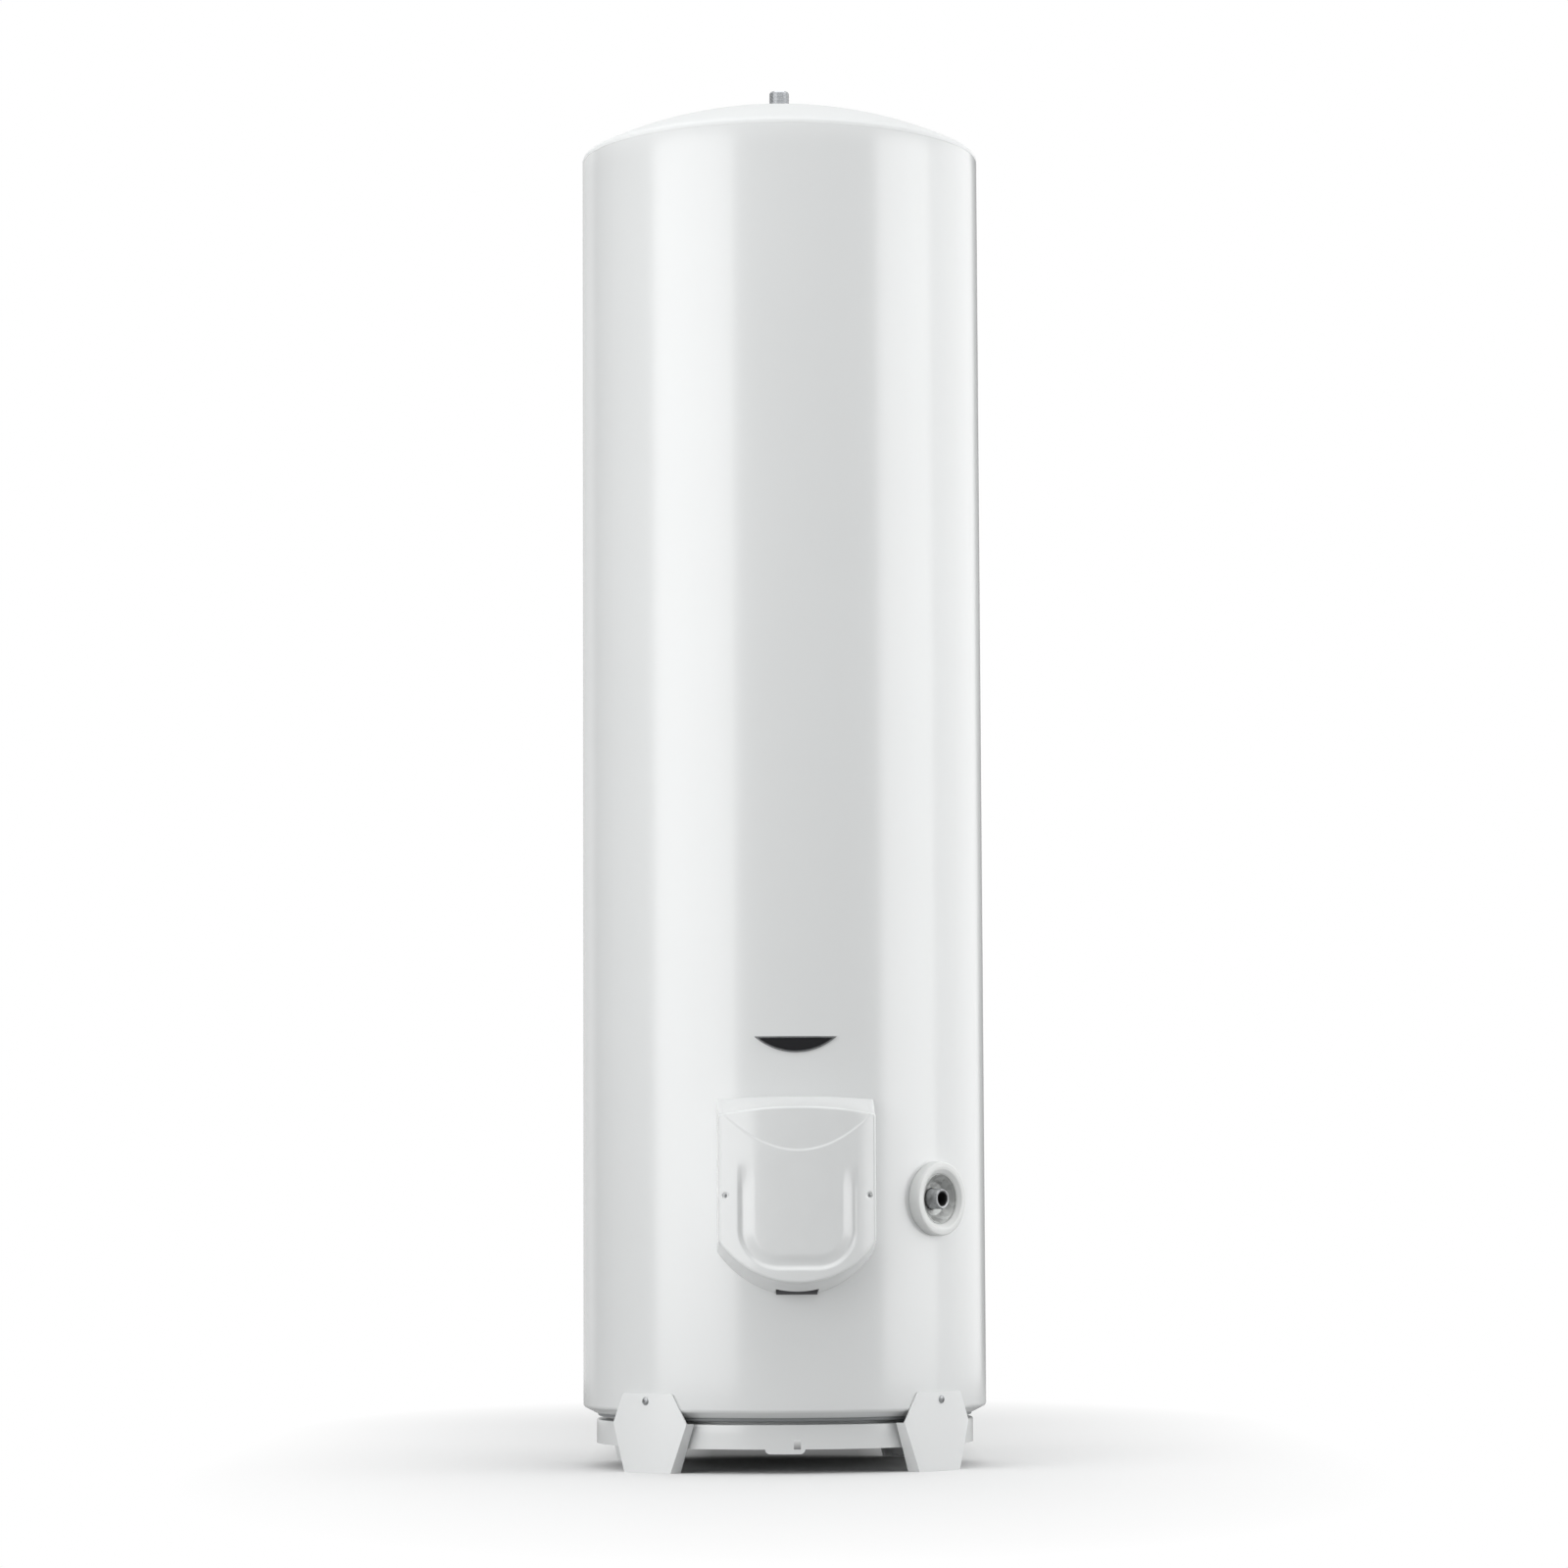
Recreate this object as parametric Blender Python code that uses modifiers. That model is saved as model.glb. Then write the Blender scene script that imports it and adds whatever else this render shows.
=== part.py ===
"""Floor-standing electric storage water heater, about 300 litres, as an assembly.

Metres, +Z up, front towards -Y.  The origin lies on the floor under the middle of the
outer box.  The hood stands proud of the jacket at the front, so the tank's axis is
AXIS_Y behind the origin.  Depths and radii are measured from the tank's axis, and
azimuths run from the front towards +X.
"""
import math

import bmesh
import bpy

# Overall
AXIS_Y = 0.024
GAP = 0.0003
STEPS = 48
FLANGE_STEPS = 32
HOLE_STEPS = 24
PIPE_STEPS = 24
SCREW_STEPS = 10
WIRE_RESOLUTION = 2

# Jacket and its covers
JACKET_RADIUS = 0.265
JACKET_WALL = 0.0008
JACKET_TOP = 1.7390
COVER_RIM_END = 1.7378
DOME_EDGE_RADIUS = 0.261
DOME_EDGE_Z = 1.744
DOME_RISE = 0.062
DOME_HOLE = 0.0167
COVER_WALL = 0.0012
JOGGLE_DEPTH = 0.0016
JOGGLE_Z = (1.7350, 1.7366)
HEM_RADIUS = 0.2495
HEM_START_Z = 0.0780
HEM_END_Z = 0.0705
PAN_RADIUS = 0.2460
PAN_FLOOR_Z = 0.0660
PAN_RIM_TOP = 0.1120
PAN_WALL = 0.0015
RING_RADIUS = 0.2476
RING_TOP = 0.0622
RING_BOTTOM = 0.0310
RING_TAB_BOTTOM = 0.0250
RING_WALL = 0.0015
RING_STEP_RADII = (0.2150, 0.2300)
RING_TAB_X = (-0.040, 0.011)
RING_NOTCH_X = (-0.0035, 0.0055)
RING_NOTCH_Z = (0.0316, 0.0430)

# Legs
LEG_AZIMUTHS = {"front_left": -45, "front_right": 45, "rear_right": 135, "rear_left": -135}
LEG_FACE = 0.2681
LEG_WALL = 0.0025
LEG_TOP_Z = 0.101
LEG_TOP_HALF = 0.0425
LEG_WIDE_Z = 0.0625
LEG_WIDE_HALF = 0.0645
LEG_FOOT_HALF = 0.0405
LEG_FLANGE_DEPTH = 0.022
LEG_SCREW_Z = 0.091
LEG_SCREW_HEAD = 0.0052
LEG_SCREW_SHANK = 0.0021
LEG_SCREW_LENGTH = 0.0095
LEG_SCREW_HOLE = 0.0025

# Screws
PAN_HEAD_RISE = 0.52

# Pressure tank
TANK_RADIUS = 0.235
TANK_WALL = 0.0025
TANK_BOTTOM_Z = 0.160
TANK_TOP_Z = 1.650
TANK_TOP_RISE = 0.080
TANK_BOTTOM_RISE = 0.075
SKIRT_RADIUS = 0.2155
SKIRT_TOP_Z = 0.1450
SKIRT_WALL = 0.0025
FOAM_BOTTOM_Z = 0.118

# Water connections, three-quarter inch male thread
PIPE_RADIUS = 0.0132
PIPE_BORE = 0.0095
OUTLET_TOP_Z = 1.836
OUTLET_INNER_Z = 1.700
INLET_AZIMUTH = 44
INLET_Z = 0.347
COLLAR_RADIUS = 0.0475
COLLAR_BORE = 0.0325
COLLAR_FACE = 0.2773
COLLAR_SEAT = 0.250
INLET_INNER = 0.2180
INLET_HOLE = 0.0338
BUSHING_RADIUS = 0.0192
BUSHING_NECK = 0.0162
BUSHING_TOP = 0.0032
DIFFUSER_END = 0.1900
DIFFUSER_WALL = 0.0015

# Electrical compartment and its flange
COMPARTMENT_HALF = 0.078
COMPARTMENT_Z = (0.264, 0.440)
FRAME_WALL = 0.002
FLANGE_Z = 0.352
NECK_BORE = 0.054
FLANGE_RADIUS = 0.0725
NECK_FACE = 0.2500
NECK_BACK = 0.215
SEAL_RADII = (0.050, 0.0610)
FLANGE_BACK = 0.2536
FLANGE_FRONT = 0.2616
BOLT_COUNT = 6
BOLT_CIRCLE = 0.0662
BOLT_START = 30
BOLT_HEAD = 0.0058
BOLT_HEAD_HEIGHT = 0.0040
BOLT_SHANK = 0.0030
BOLT_LENGTH = 0.0200
BOLT_HOLE = 0.0036
ELEMENT_RADIUS = 0.00425
ELEMENT_X = 0.026
ELEMENT_HEIGHTS = (0.014, -0.022)
ELEMENT_END = -0.110
TERMINAL_FRONT = 0.2720
POCKET_HEIGHT = 0.026
POCKET_RADIUS = 0.0060
POCKET_WALL = 0.0012
POCKET_END = -0.0200
POCKET_FRONT = 0.2700
PROBE_RADIUS = 0.0036
LEAD_RADIUS = 0.0013
ELEMENT_LEAD_RADIUS = 0.0011
ANODE_HEIGHT = -0.018
ANODE_RADIUS = 0.0110
ANODE_STEM = 0.0040
ANODE_NUT = 0.0075
STRIP_HALF = 0.021
STRIP_HEIGHTS = (-0.057, -0.041)
STRIP_FRONT = 0.2800
TERMINAL_SPACING = 0.013
EARTH_SPOT = (0.046, -0.008)

# Thermostat
BODY_BACK = 0.2735
BODY_FRONT = 0.2925
BODY_HALF = 0.020
BODY_HEIGHTS = (0.004, 0.060)
KNOB_HEIGHT = 0.022
KNOB_RADIUS = 0.013
KNOB_FRONT = 0.3040
KNOB_STEM = 0.0030
STEM_END = 0.2860
BUTTON_HEIGHT = 0.048
BUTTON_RADIUS = 0.0035
BUTTON_FRONT = 0.2965

# Hood
HOOD_HALF = 0.100
HOOD_WALL = 0.0025
HOOD_FRONT = 0.313
HOOD_FRONT_CURVE = 0.193
HOOD_SIDE_FRONT = 0.285
HOOD_TOP = 0.464
HOOD_TOP_CORNER = 0.455
HOOD_BOTTOM = 0.2414
HOOD_BOTTOM_CORNER = 0.292
HOOD_TOP_SLOPE = 0.27
HOOD_BOTTOM_SLOPE = 0.354
HOOD_REAR_PLANE = 0.240
HOOD_FRONT_PLANE = 0.316
HOOD_SCREW_X = 0.091
HOOD_SCREW_Z = 0.3515
HOOD_SCREW_HEAD = 0.0026
HOOD_SCREW_SHANK = 0.0014
HOOD_SCREW_LENGTH = 0.0260
HOOD_SCREW_HOLE = 0.0019
NOTCH_HALF = 0.027
NOTCH_TOP = 0.246
NOTCH_DEPTH = 0.284
BRACKET_WEB_X = (0.0850, 0.0875)
BRACKET_LIP_X = 0.0965
BRACKET_REAR = 0.2400
BRACKET_FRONT = 0.2830
BRACKET_LIP = 0.0022
BRACKET_HALF_HEIGHT = 0.009

# Badge
BADGE_HALF = 0.053
BADGE_TOP = 0.5535
BADGE_BOTTOM = 0.5330
BADGE_RIM = 0.0018
BADGE_PROUD = 0.0018


def clear_scene():
    for obj in list(bpy.data.objects):
        bpy.data.objects.remove(obj, do_unlink=True)


def new_collection(name):
    group = bpy.data.collections.new(name)
    bpy.context.scene.collection.children.link(group)
    return group


def finish(name, colour, roughness, metallic=0.0):
    mat = bpy.data.materials.new(name)
    mat.use_nodes = True
    shader = mat.node_tree.nodes["Principled BSDF"]
    shader.inputs["Base Color"].default_value = (*colour, 1.0)
    shader.inputs["Roughness"].default_value = roughness
    shader.inputs["Metallic"].default_value = metallic
    return mat


clear_scene()
PARTS = new_collection("tank_water_heater")
CUTTERS = new_collection("cutters")

ENAMEL = finish("white_enamel", (0.86, 0.87, 0.87), 0.30)
WHITE_PLASTIC = finish("white_plastic", (0.88, 0.89, 0.89), 0.35)
ZINC = finish("zinc_steel", (0.45, 0.46, 0.47), 0.45, 0.9)
CHROME = finish("chrome", (0.75, 0.76, 0.78), 0.12, 1.0)
BLACK_GLOSS = finish("black_gloss", (0.02, 0.02, 0.022), 0.15)
SILVER = finish("silver_trim", (0.70, 0.71, 0.72), 0.25, 1.0)
VITREOUS = finish("vitreous_steel", (0.10, 0.14, 0.20), 0.30)
FOAM = finish("foam", (0.83, 0.72, 0.42), 0.9)
STEEL = finish("plain_steel", (0.50, 0.50, 0.50), 0.4, 0.9)
COPPER = finish("copper_sheath", (0.70, 0.38, 0.24), 0.35, 1.0)
MAGNESIUM = finish("magnesium", (0.62, 0.62, 0.60), 0.6, 0.9)
RUBBER = finish("black_rubber", (0.03, 0.03, 0.03), 0.85)
GREY_PLASTIC = finish("grey_plastic", (0.32, 0.33, 0.34), 0.6)
RED_PLASTIC = finish("red_plastic", (0.65, 0.05, 0.04), 0.4)
WIRE_BROWN = finish("wire_brown", (0.25, 0.11, 0.05), 0.5)
WIRE_BLUE = finish("wire_blue", (0.04, 0.14, 0.50), 0.5)
WIRE_GREEN = finish("wire_green", (0.10, 0.42, 0.10), 0.5)


def radial_frame(name, azimuth=0.0, height=0.0):
    """An empty on the tank's axis: local X sideways, local Y up, local Z outwards."""
    empty = bpy.data.objects.new(name, None)
    PARTS.objects.link(empty)
    empty.location = (0.0, AXIS_Y, height)
    empty.rotation_euler = (math.pi / 2, 0.0, math.radians(azimuth))
    return empty


def upright_frame(name):
    """An empty on the tank's axis, at floor level, with the world's directions."""
    empty = bpy.data.objects.new(name, None)
    PARTS.objects.link(empty)
    empty.location = (0.0, AXIS_Y, 0.0)
    return empty


def local_frame(name, parent, location):
    """An empty at a point of another frame, with the same directions."""
    empty = bpy.data.objects.new(name, None)
    PARTS.objects.link(empty)
    empty.parent = parent
    empty.location = location
    return empty


TANK_AXIS = upright_frame("tank_axis")
FRONT = radial_frame("front_axis")
FLANGE = radial_frame("flange_axis", 0.0, FLANGE_Z)
INLET = radial_frame("inlet_axis", INLET_AZIMUTH, INLET_Z)


def place(name, mesh, parent, mat):
    """Puts a mesh under its parent; a piece with no material is a cutter."""
    obj = bpy.data.objects.new(name, mesh)
    obj.parent = parent
    if mat is None:
        CUTTERS.objects.link(obj)
        obj.hide_render = True
        obj.display_type = "WIRE"
    else:
        PARTS.objects.link(obj)
        mesh.materials.append(mat)
    return obj


def clockwise(profile):
    """The profile in the order that turns with its faces outwards."""
    area = 0.0
    for (r0, z0), (r1, z1) in zip(profile, profile[1:] + profile[:1]):
        area += r0 * z1 - r1 * z0
    return profile if area < 0 else profile[::-1]


def turned(name, profile, parent, mat, wall=0.0, steps=STEPS):
    """Turns a profile of (radius, height) points about the parent's Z axis.

    With a wall it is an open line along the outer face, listed top to bottom, which is
    thickened inwards.  Without one it is the whole section.
    """
    points = profile if wall else clockwise(profile)
    last = len(points) - 1
    edges = [(i, i + 1) for i in range(last)]
    on_axis = points[0][0] == 0.0 and points[-1][0] == 0.0
    if not wall and not on_axis:
        edges.append((last, 0))
    mesh = bpy.data.meshes.new(name)
    mesh.from_pydata([(r, 0.0, z) for r, z in points], edges, [])
    obj = place(name, mesh, parent, mat)
    screw = obj.modifiers.new("Turn", "SCREW")
    screw.axis = "Z"
    screw.angle = 2 * math.pi
    screw.steps = steps
    screw.render_steps = steps
    screw.use_merge_vertices = True
    screw.merge_threshold = 0.00001
    screw.use_smooth_shade = True
    if wall:
        shell = obj.modifiers.new("Wall", "SOLIDIFY")
        shell.thickness = wall
        shell.offset = -1.0
        shell.use_even_offset = True
    return obj


def drum(name, radius, z0, z1):
    """A round cutter about the tank's axis, with the jacket's facets."""
    return turned(name, [(0.0, z1), (radius, z1), (radius, z0), (0.0, z0)], TANK_AXIS, None)


def rod(name, parent, centre, radius, z0, z1, mat=None, steps=HOLE_STEPS):
    """A cylinder along the parent's Z axis."""
    work = bmesh.new()
    bmesh.ops.create_cone(
        work, cap_ends=True, segments=steps, radius1=radius, radius2=radius, depth=z1 - z0
    )
    bmesh.ops.translate(work, verts=work.verts, vec=(centre[0], centre[1], (z0 + z1) / 2))
    mesh = bpy.data.meshes.new(name)
    work.to_mesh(mesh)
    work.free()
    mesh.shade_smooth()
    mesh.set_sharp_from_angle(angle=math.radians(40))
    return place(name, mesh, parent, mat)


def block(name, parent, low, high, mat=None):
    """A box between two corners in the parent's frame."""
    work = bmesh.new()
    bmesh.ops.create_cube(work, size=1.0)
    bmesh.ops.scale(work, verts=work.verts, vec=[b - a for a, b in zip(low, high)])
    bmesh.ops.translate(work, verts=work.verts, vec=[(a + b) / 2 for a, b in zip(low, high)])
    mesh = bpy.data.meshes.new(name)
    work.to_mesh(mesh)
    work.free()
    return place(name, mesh, parent, mat)


def extruded(name, parent, outline, z0, z1, mat=None):
    """A flat outline in the parent's XY plane, extruded along Z."""
    work = bmesh.new()
    face = work.faces.new([work.verts.new((x, y, z0)) for x, y in outline])
    top = bmesh.ops.extrude_face_region(work, geom=[face])["geom"]
    moved = [item for item in top if isinstance(item, bmesh.types.BMVert)]
    bmesh.ops.translate(work, verts=moved, vec=(0.0, 0.0, z1 - z0))
    bmesh.ops.recalc_face_normals(work, faces=work.faces)
    mesh = bpy.data.meshes.new(name)
    work.to_mesh(mesh)
    work.free()
    return place(name, mesh, parent, mat)


def tube(name, parent, points, radius, mat, resolution=WIRE_RESOLUTION):
    """A round wire or tube through the points, as a curve with closed ends."""
    curve = bpy.data.curves.new(name, "CURVE")
    curve.dimensions = "3D"
    curve.bevel_depth = radius
    curve.bevel_resolution = resolution
    curve.use_fill_caps = True
    spline = curve.splines.new("POLY")
    spline.points.add(len(points) - 1)
    for point, place_at in zip(spline.points, points):
        point.co = (*place_at, 1.0)
    obj = bpy.data.objects.new(name, curve)
    obj.parent = parent
    curve.materials.append(mat)
    PARTS.objects.link(obj)
    return obj


def combine(obj, other, operation="DIFFERENCE"):
    cut = obj.modifiers.new(other.name, "BOOLEAN")
    cut.operation = operation
    cut.solver = "EXACT"
    cut.object = other


def soften(obj, width, angle=40):
    """A small one-step bevel along the sharp edges."""
    bevel = obj.modifiers.new("Bevel", "BEVEL")
    bevel.width = width
    bevel.segments = 1
    bevel.limit_method = "ANGLE"
    bevel.angle_limit = math.radians(angle)


def arc(centre, radius, start, end, count):
    """Points along an arc, with angles in degrees."""
    points = []
    for i in range(count + 1):
        angle = math.radians(start + (end - start) * i / count)
        points.append((centre[0] + radius * math.cos(angle), centre[1] + radius * math.sin(angle)))
    return points


def dome_z(radius, edge_radius, edge_z, rise):
    """Height of a spherical cap at a radius."""
    sphere = (edge_radius**2 + rise**2) / (2 * rise)
    return edge_z + rise - sphere + math.sqrt(sphere**2 - radius**2)


def dome_line(inner, edge_radius, edge_z, rise, count, lift=0.0):
    """Points from the hole at the top of a cap to its edge."""
    points = []
    for i in range(count + 1):
        radius = inner + (edge_radius - inner) * i / count
        points.append((radius, dome_z(radius, edge_radius, edge_z, rise) + lift))
    return points


# Cutters that several parts share
COMPARTMENT_CUT = block(
    "cut_compartment",
    FRONT,
    (-COMPARTMENT_HALF, COMPARTMENT_Z[0], 0.20),
    (COMPARTMENT_HALF, COMPARTMENT_Z[1], 0.30),
)
FOAM_CUT = block(
    "cut_foam",
    FRONT,
    (-COMPARTMENT_HALF - FRAME_WALL - GAP, COMPARTMENT_Z[0] - FRAME_WALL - GAP, 0.20),
    (COMPARTMENT_HALF + FRAME_WALL + GAP, COMPARTMENT_Z[1] + FRAME_WALL + GAP, 0.30),
)
INLET_CUT = rod("cut_inlet", INLET, (0.0, 0.0), INLET_HOLE, 0.225, 0.30, steps=PIPE_STEPS)
LEG_FRAMES = {}
LEG_HOLES = {}
for leg_side, leg_azimuth in LEG_AZIMUTHS.items():
    leg_frame = radial_frame(f"leg_axis_{leg_side}", leg_azimuth)
    hole_name = f"cut_leg_screw_{leg_side}"
    LEG_FRAMES[leg_side] = leg_frame
    LEG_HOLES[leg_side] = rod(
        hole_name, leg_frame, (0.0, LEG_SCREW_Z), LEG_SCREW_HOLE, 0.255, 0.275, steps=12
    )


def outer_jacket():
    joggle = JACKET_RADIUS - JOGGLE_DEPTH
    line = [
        (joggle, JACKET_TOP),
        (joggle, JOGGLE_Z[1]),
        (JACKET_RADIUS, JOGGLE_Z[0]),
        (JACKET_RADIUS, HEM_START_Z + 0.0015),
        (JACKET_RADIUS - 0.0020, HEM_START_Z - 0.0005),
        (HEM_RADIUS, HEM_END_Z),
    ]
    jacket = turned("outer_jacket", line, TANK_AXIS, ENAMEL, wall=JACKET_WALL)
    combine(jacket, COMPARTMENT_CUT)
    combine(jacket, INLET_CUT)
    for hole in LEG_HOLES.values():
        combine(jacket, hole)


def top_cover():
    line = dome_line(DOME_HOLE, DOME_EDGE_RADIUS, DOME_EDGE_Z, DOME_RISE, 5)
    line += [
        (JACKET_RADIUS, DOME_EDGE_Z - 0.0038),
        (JACKET_RADIUS, COVER_RIM_END),
    ]
    turned("top_cover", line, TANK_AXIS, ENAMEL, wall=COVER_WALL)


def bottom_pan():
    rim = JACKET_RADIUS - JACKET_WALL - 2 * GAP
    line = [
        (rim, PAN_RIM_TOP),
        (rim, 0.0800),
        (PAN_RADIUS, 0.0724),
        (PAN_RADIUS, PAN_FLOOR_Z),
        (0.0, PAN_FLOOR_Z),
    ]
    pan = turned("bottom_pan", line, TANK_AXIS, ENAMEL, wall=PAN_WALL)
    for hole in LEG_HOLES.values():
        combine(pan, hole)


def base_ring():
    """A channel ring under the pan, with a tab and a notch at the front."""
    step = PAN_FLOOR_Z - GAP
    line = [
        (RING_STEP_RADII[0], step),
        (RING_STEP_RADII[1], step),
        (RING_STEP_RADII[1], RING_TOP),
        (RING_RADIUS, RING_TOP),
        (RING_RADIUS, RING_TAB_BOTTOM),
    ]
    ring = turned("base_ring", line, TANK_AXIS, ENAMEL, wall=RING_WALL)
    trim = drum("cut_ring_trim", 0.30, 0.010, RING_BOTTOM)
    tab = block("cut_tab", FRONT, (RING_TAB_X[0], 0.0, 0.20), (RING_TAB_X[1], 0.05, 0.32))
    combine(trim, tab)
    combine(ring, trim)
    low = (RING_NOTCH_X[0], RING_NOTCH_Z[0], 0.23)
    high = (RING_NOTCH_X[1], RING_NOTCH_Z[1], 0.27)
    combine(ring, block("cut_notch", FRONT, low, high))


def legs():
    """Four pressed legs: a face that follows the jacket, flanged inwards round its lower half."""
    face = [
        (LEG_TOP_HALF, LEG_TOP_Z),
        (-LEG_TOP_HALF, LEG_TOP_Z),
        (-LEG_WIDE_HALF, LEG_WIDE_Z),
        (-LEG_FOOT_HALF, 0.0),
        (LEG_FOOT_HALF, 0.0),
        (LEG_WIDE_HALF, LEG_WIDE_Z),
    ]
    taper = (LEG_WIDE_HALF - LEG_FOOT_HALF) / LEG_WIDE_Z
    wall = LEG_WALL * math.hypot(1.0, taper)
    foot = LEG_FOOT_HALF + taper * LEG_WALL - wall
    wide = LEG_WIDE_HALF - wall
    over = 0.02
    hollow = [
        (LEG_WIDE_HALF + over, LEG_TOP_Z + over),
        (-LEG_WIDE_HALF - over, LEG_TOP_Z + over),
        (-LEG_WIDE_HALF - over, LEG_WIDE_Z),
        (-wide, LEG_WIDE_Z),
        (-foot, LEG_WALL),
        (foot, LEG_WALL),
        (wide, LEG_WIDE_Z),
        (LEG_WIDE_HALF + over, LEG_WIDE_Z),
    ]
    low = LEG_FACE - LEG_FLANGE_DEPTH
    outside = drum("keep_leg_face", LEG_FACE, -0.05, 0.15)
    inside = drum("keep_leg_hollow", LEG_FACE - LEG_WALL, -0.05, 0.15)
    for side, frame in LEG_FRAMES.items():
        leg = extruded(f"leg_{side}", frame, face, low, LEG_FACE + over, ENAMEL)
        combine(leg, outside, "INTERSECT")
        core = extruded(f"cut_leg_{side}", frame, hollow, low - over, LEG_FACE + over)
        combine(core, inside, "INTERSECT")
        combine(leg, core)
        combine(leg, LEG_HOLES[side])
        pan_head(
            f"leg_screw_{side}",
            frame,
            (0.0, LEG_SCREW_Z, LEG_FACE + GAP),
            LEG_SCREW_HEAD,
            LEG_SCREW_SHANK,
            LEG_SCREW_LENGTH,
        )


def pan_head(name, parent, seat, head, shank, length):
    """A pan-head screw along the parent's Z axis, with its head on the seat."""
    rise = head * PAN_HEAD_RISE
    axis = local_frame(f"{name}_axis", parent, seat)
    profile = [
        (0.0, rise),
        (head * 0.70, rise * 0.80),
        (head, 0.0),
        (shank, 0.0),
        (shank, -length),
        (0.0, -length),
    ]
    return turned(name, profile, axis, STEEL, steps=SCREW_STEPS)


def tank():
    """The vitreous-enamelled cylinder with its two domed ends and its skirt."""
    hole = rod("cut_shell_neck", FLANGE, (0.0, 0.0), NECK_BORE, 0.18, 0.27, steps=32)
    inlet = rod("cut_shell_inlet", INLET, (0.0, 0.0), PIPE_RADIUS + GAP, 0.20, 0.25)
    line = [(TANK_RADIUS, TANK_TOP_Z - TANK_WALL), (TANK_RADIUS, TANK_BOTTOM_Z + TANK_WALL)]
    shell = turned("tank_shell", line, TANK_AXIS, VITREOUS, wall=TANK_WALL)
    combine(shell, hole)
    combine(shell, inlet)
    bore = PIPE_RADIUS + GAP
    top = dome_line(bore, TANK_RADIUS, TANK_TOP_Z, TANK_TOP_RISE, 4)
    turned("tank_top_end", top, TANK_AXIS, VITREOUS, wall=TANK_WALL)
    cap = dome_line(0.0, TANK_RADIUS, -TANK_BOTTOM_Z, TANK_BOTTOM_RISE, 4)
    low = [(r, -z) for r, z in reversed(cap)]
    turned("tank_bottom_end", low, TANK_AXIS, VITREOUS, wall=TANK_WALL)
    skirt = [(SKIRT_RADIUS, SKIRT_TOP_Z), (SKIRT_RADIUS, PAN_FLOOR_Z + PAN_WALL + GAP)]
    turned("tank_skirt", skirt, TANK_AXIS, STEEL, wall=SKIRT_WALL)


def insulation_foam():
    outer = JACKET_RADIUS - JACKET_WALL - GAP
    inner = TANK_RADIUS + GAP
    bore = PIPE_RADIUS + 0.0018
    under_cover = dome_line(bore, DOME_EDGE_RADIUS, DOME_EDGE_Z, DOME_RISE, 4, lift=-0.006)
    over_tank = dome_line(bore, inner, TANK_TOP_Z, TANK_TOP_RISE, 4, lift=0.0006)
    section = under_cover[:-1]
    section += [(0.2580, 1.7340), (outer, 1.7280), (outer, FOAM_BOTTOM_Z), (inner, FOAM_BOTTOM_Z)]
    section += over_tank[::-1]
    foam = turned("insulation_foam", section, TANK_AXIS, FOAM)
    combine(foam, FOAM_CUT)
    combine(foam, INLET_CUT)


def water_pipes():
    outlet = [
        (PIPE_BORE, OUTLET_TOP_Z),
        (PIPE_RADIUS, OUTLET_TOP_Z),
        (PIPE_RADIUS, OUTLET_INNER_Z),
        (PIPE_BORE, OUTLET_INNER_Z),
    ]
    turned("hot_outlet_pipe", outlet, TANK_AXIS, CHROME, steps=PIPE_STEPS)
    crown = DOME_EDGE_Z + DOME_RISE
    bushing = [
        (PIPE_RADIUS + GAP, crown + BUSHING_TOP),
        (BUSHING_RADIUS, crown + BUSHING_TOP - 0.0010),
        (BUSHING_RADIUS, crown + GAP),
        (BUSHING_NECK, crown + GAP),
        (BUSHING_NECK, crown - 0.0040),
        (PIPE_RADIUS + GAP, crown - 0.0040),
    ]
    turned("outlet_bushing", bushing, TANK_AXIS, WHITE_PLASTIC, steps=PIPE_STEPS)
    nipple = [
        (PIPE_BORE, COLLAR_FACE - 0.0003),
        (PIPE_RADIUS, COLLAR_FACE - 0.0003),
        (PIPE_RADIUS, INLET_INNER),
        (PIPE_BORE, INLET_INNER),
    ]
    turned("cold_inlet_nipple", nipple, INLET, ZINC, steps=PIPE_STEPS)


def inlet_parts():
    ring = [
        (COLLAR_BORE, COLLAR_FACE),
        (COLLAR_RADIUS - 0.0030, COLLAR_FACE),
        (COLLAR_RADIUS, COLLAR_FACE - 0.0030),
        (COLLAR_RADIUS, COLLAR_SEAT),
        (COLLAR_BORE, COLLAR_SEAT),
    ]
    collar = turned("inlet_collar", ring, INLET, WHITE_PLASTIC, steps=FLANGE_STEPS)
    combine(collar, drum("cut_collar_back", JACKET_RADIUS + GAP, 0.25, 0.45))
    bowl = [
        (COLLAR_BORE - GAP, 0.2740),
        (COLLAR_BORE - GAP, 0.2715),
        (PIPE_RADIUS + 0.0022, 0.2570),
    ]
    turned("inlet_bowl", bowl, INLET, ZINC, wall=0.0010, steps=PIPE_STEPS)
    fit = PIPE_RADIUS + GAP
    cup = [
        (0.0, DIFFUSER_END + DIFFUSER_WALL),
        (fit, DIFFUSER_END + DIFFUSER_WALL),
        (fit, 0.2275),
        (fit + DIFFUSER_WALL, 0.2275),
        (fit + DIFFUSER_WALL, DIFFUSER_END),
        (0.0, DIFFUSER_END),
    ]
    diffuser = turned("inlet_diffuser", cup, INLET, GREY_PLASTIC, steps=16)
    combine(diffuser, block("cut_diffuser", INLET, (-0.008, -0.030, 0.195), (0.008, 0.0, 0.212)))


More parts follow.
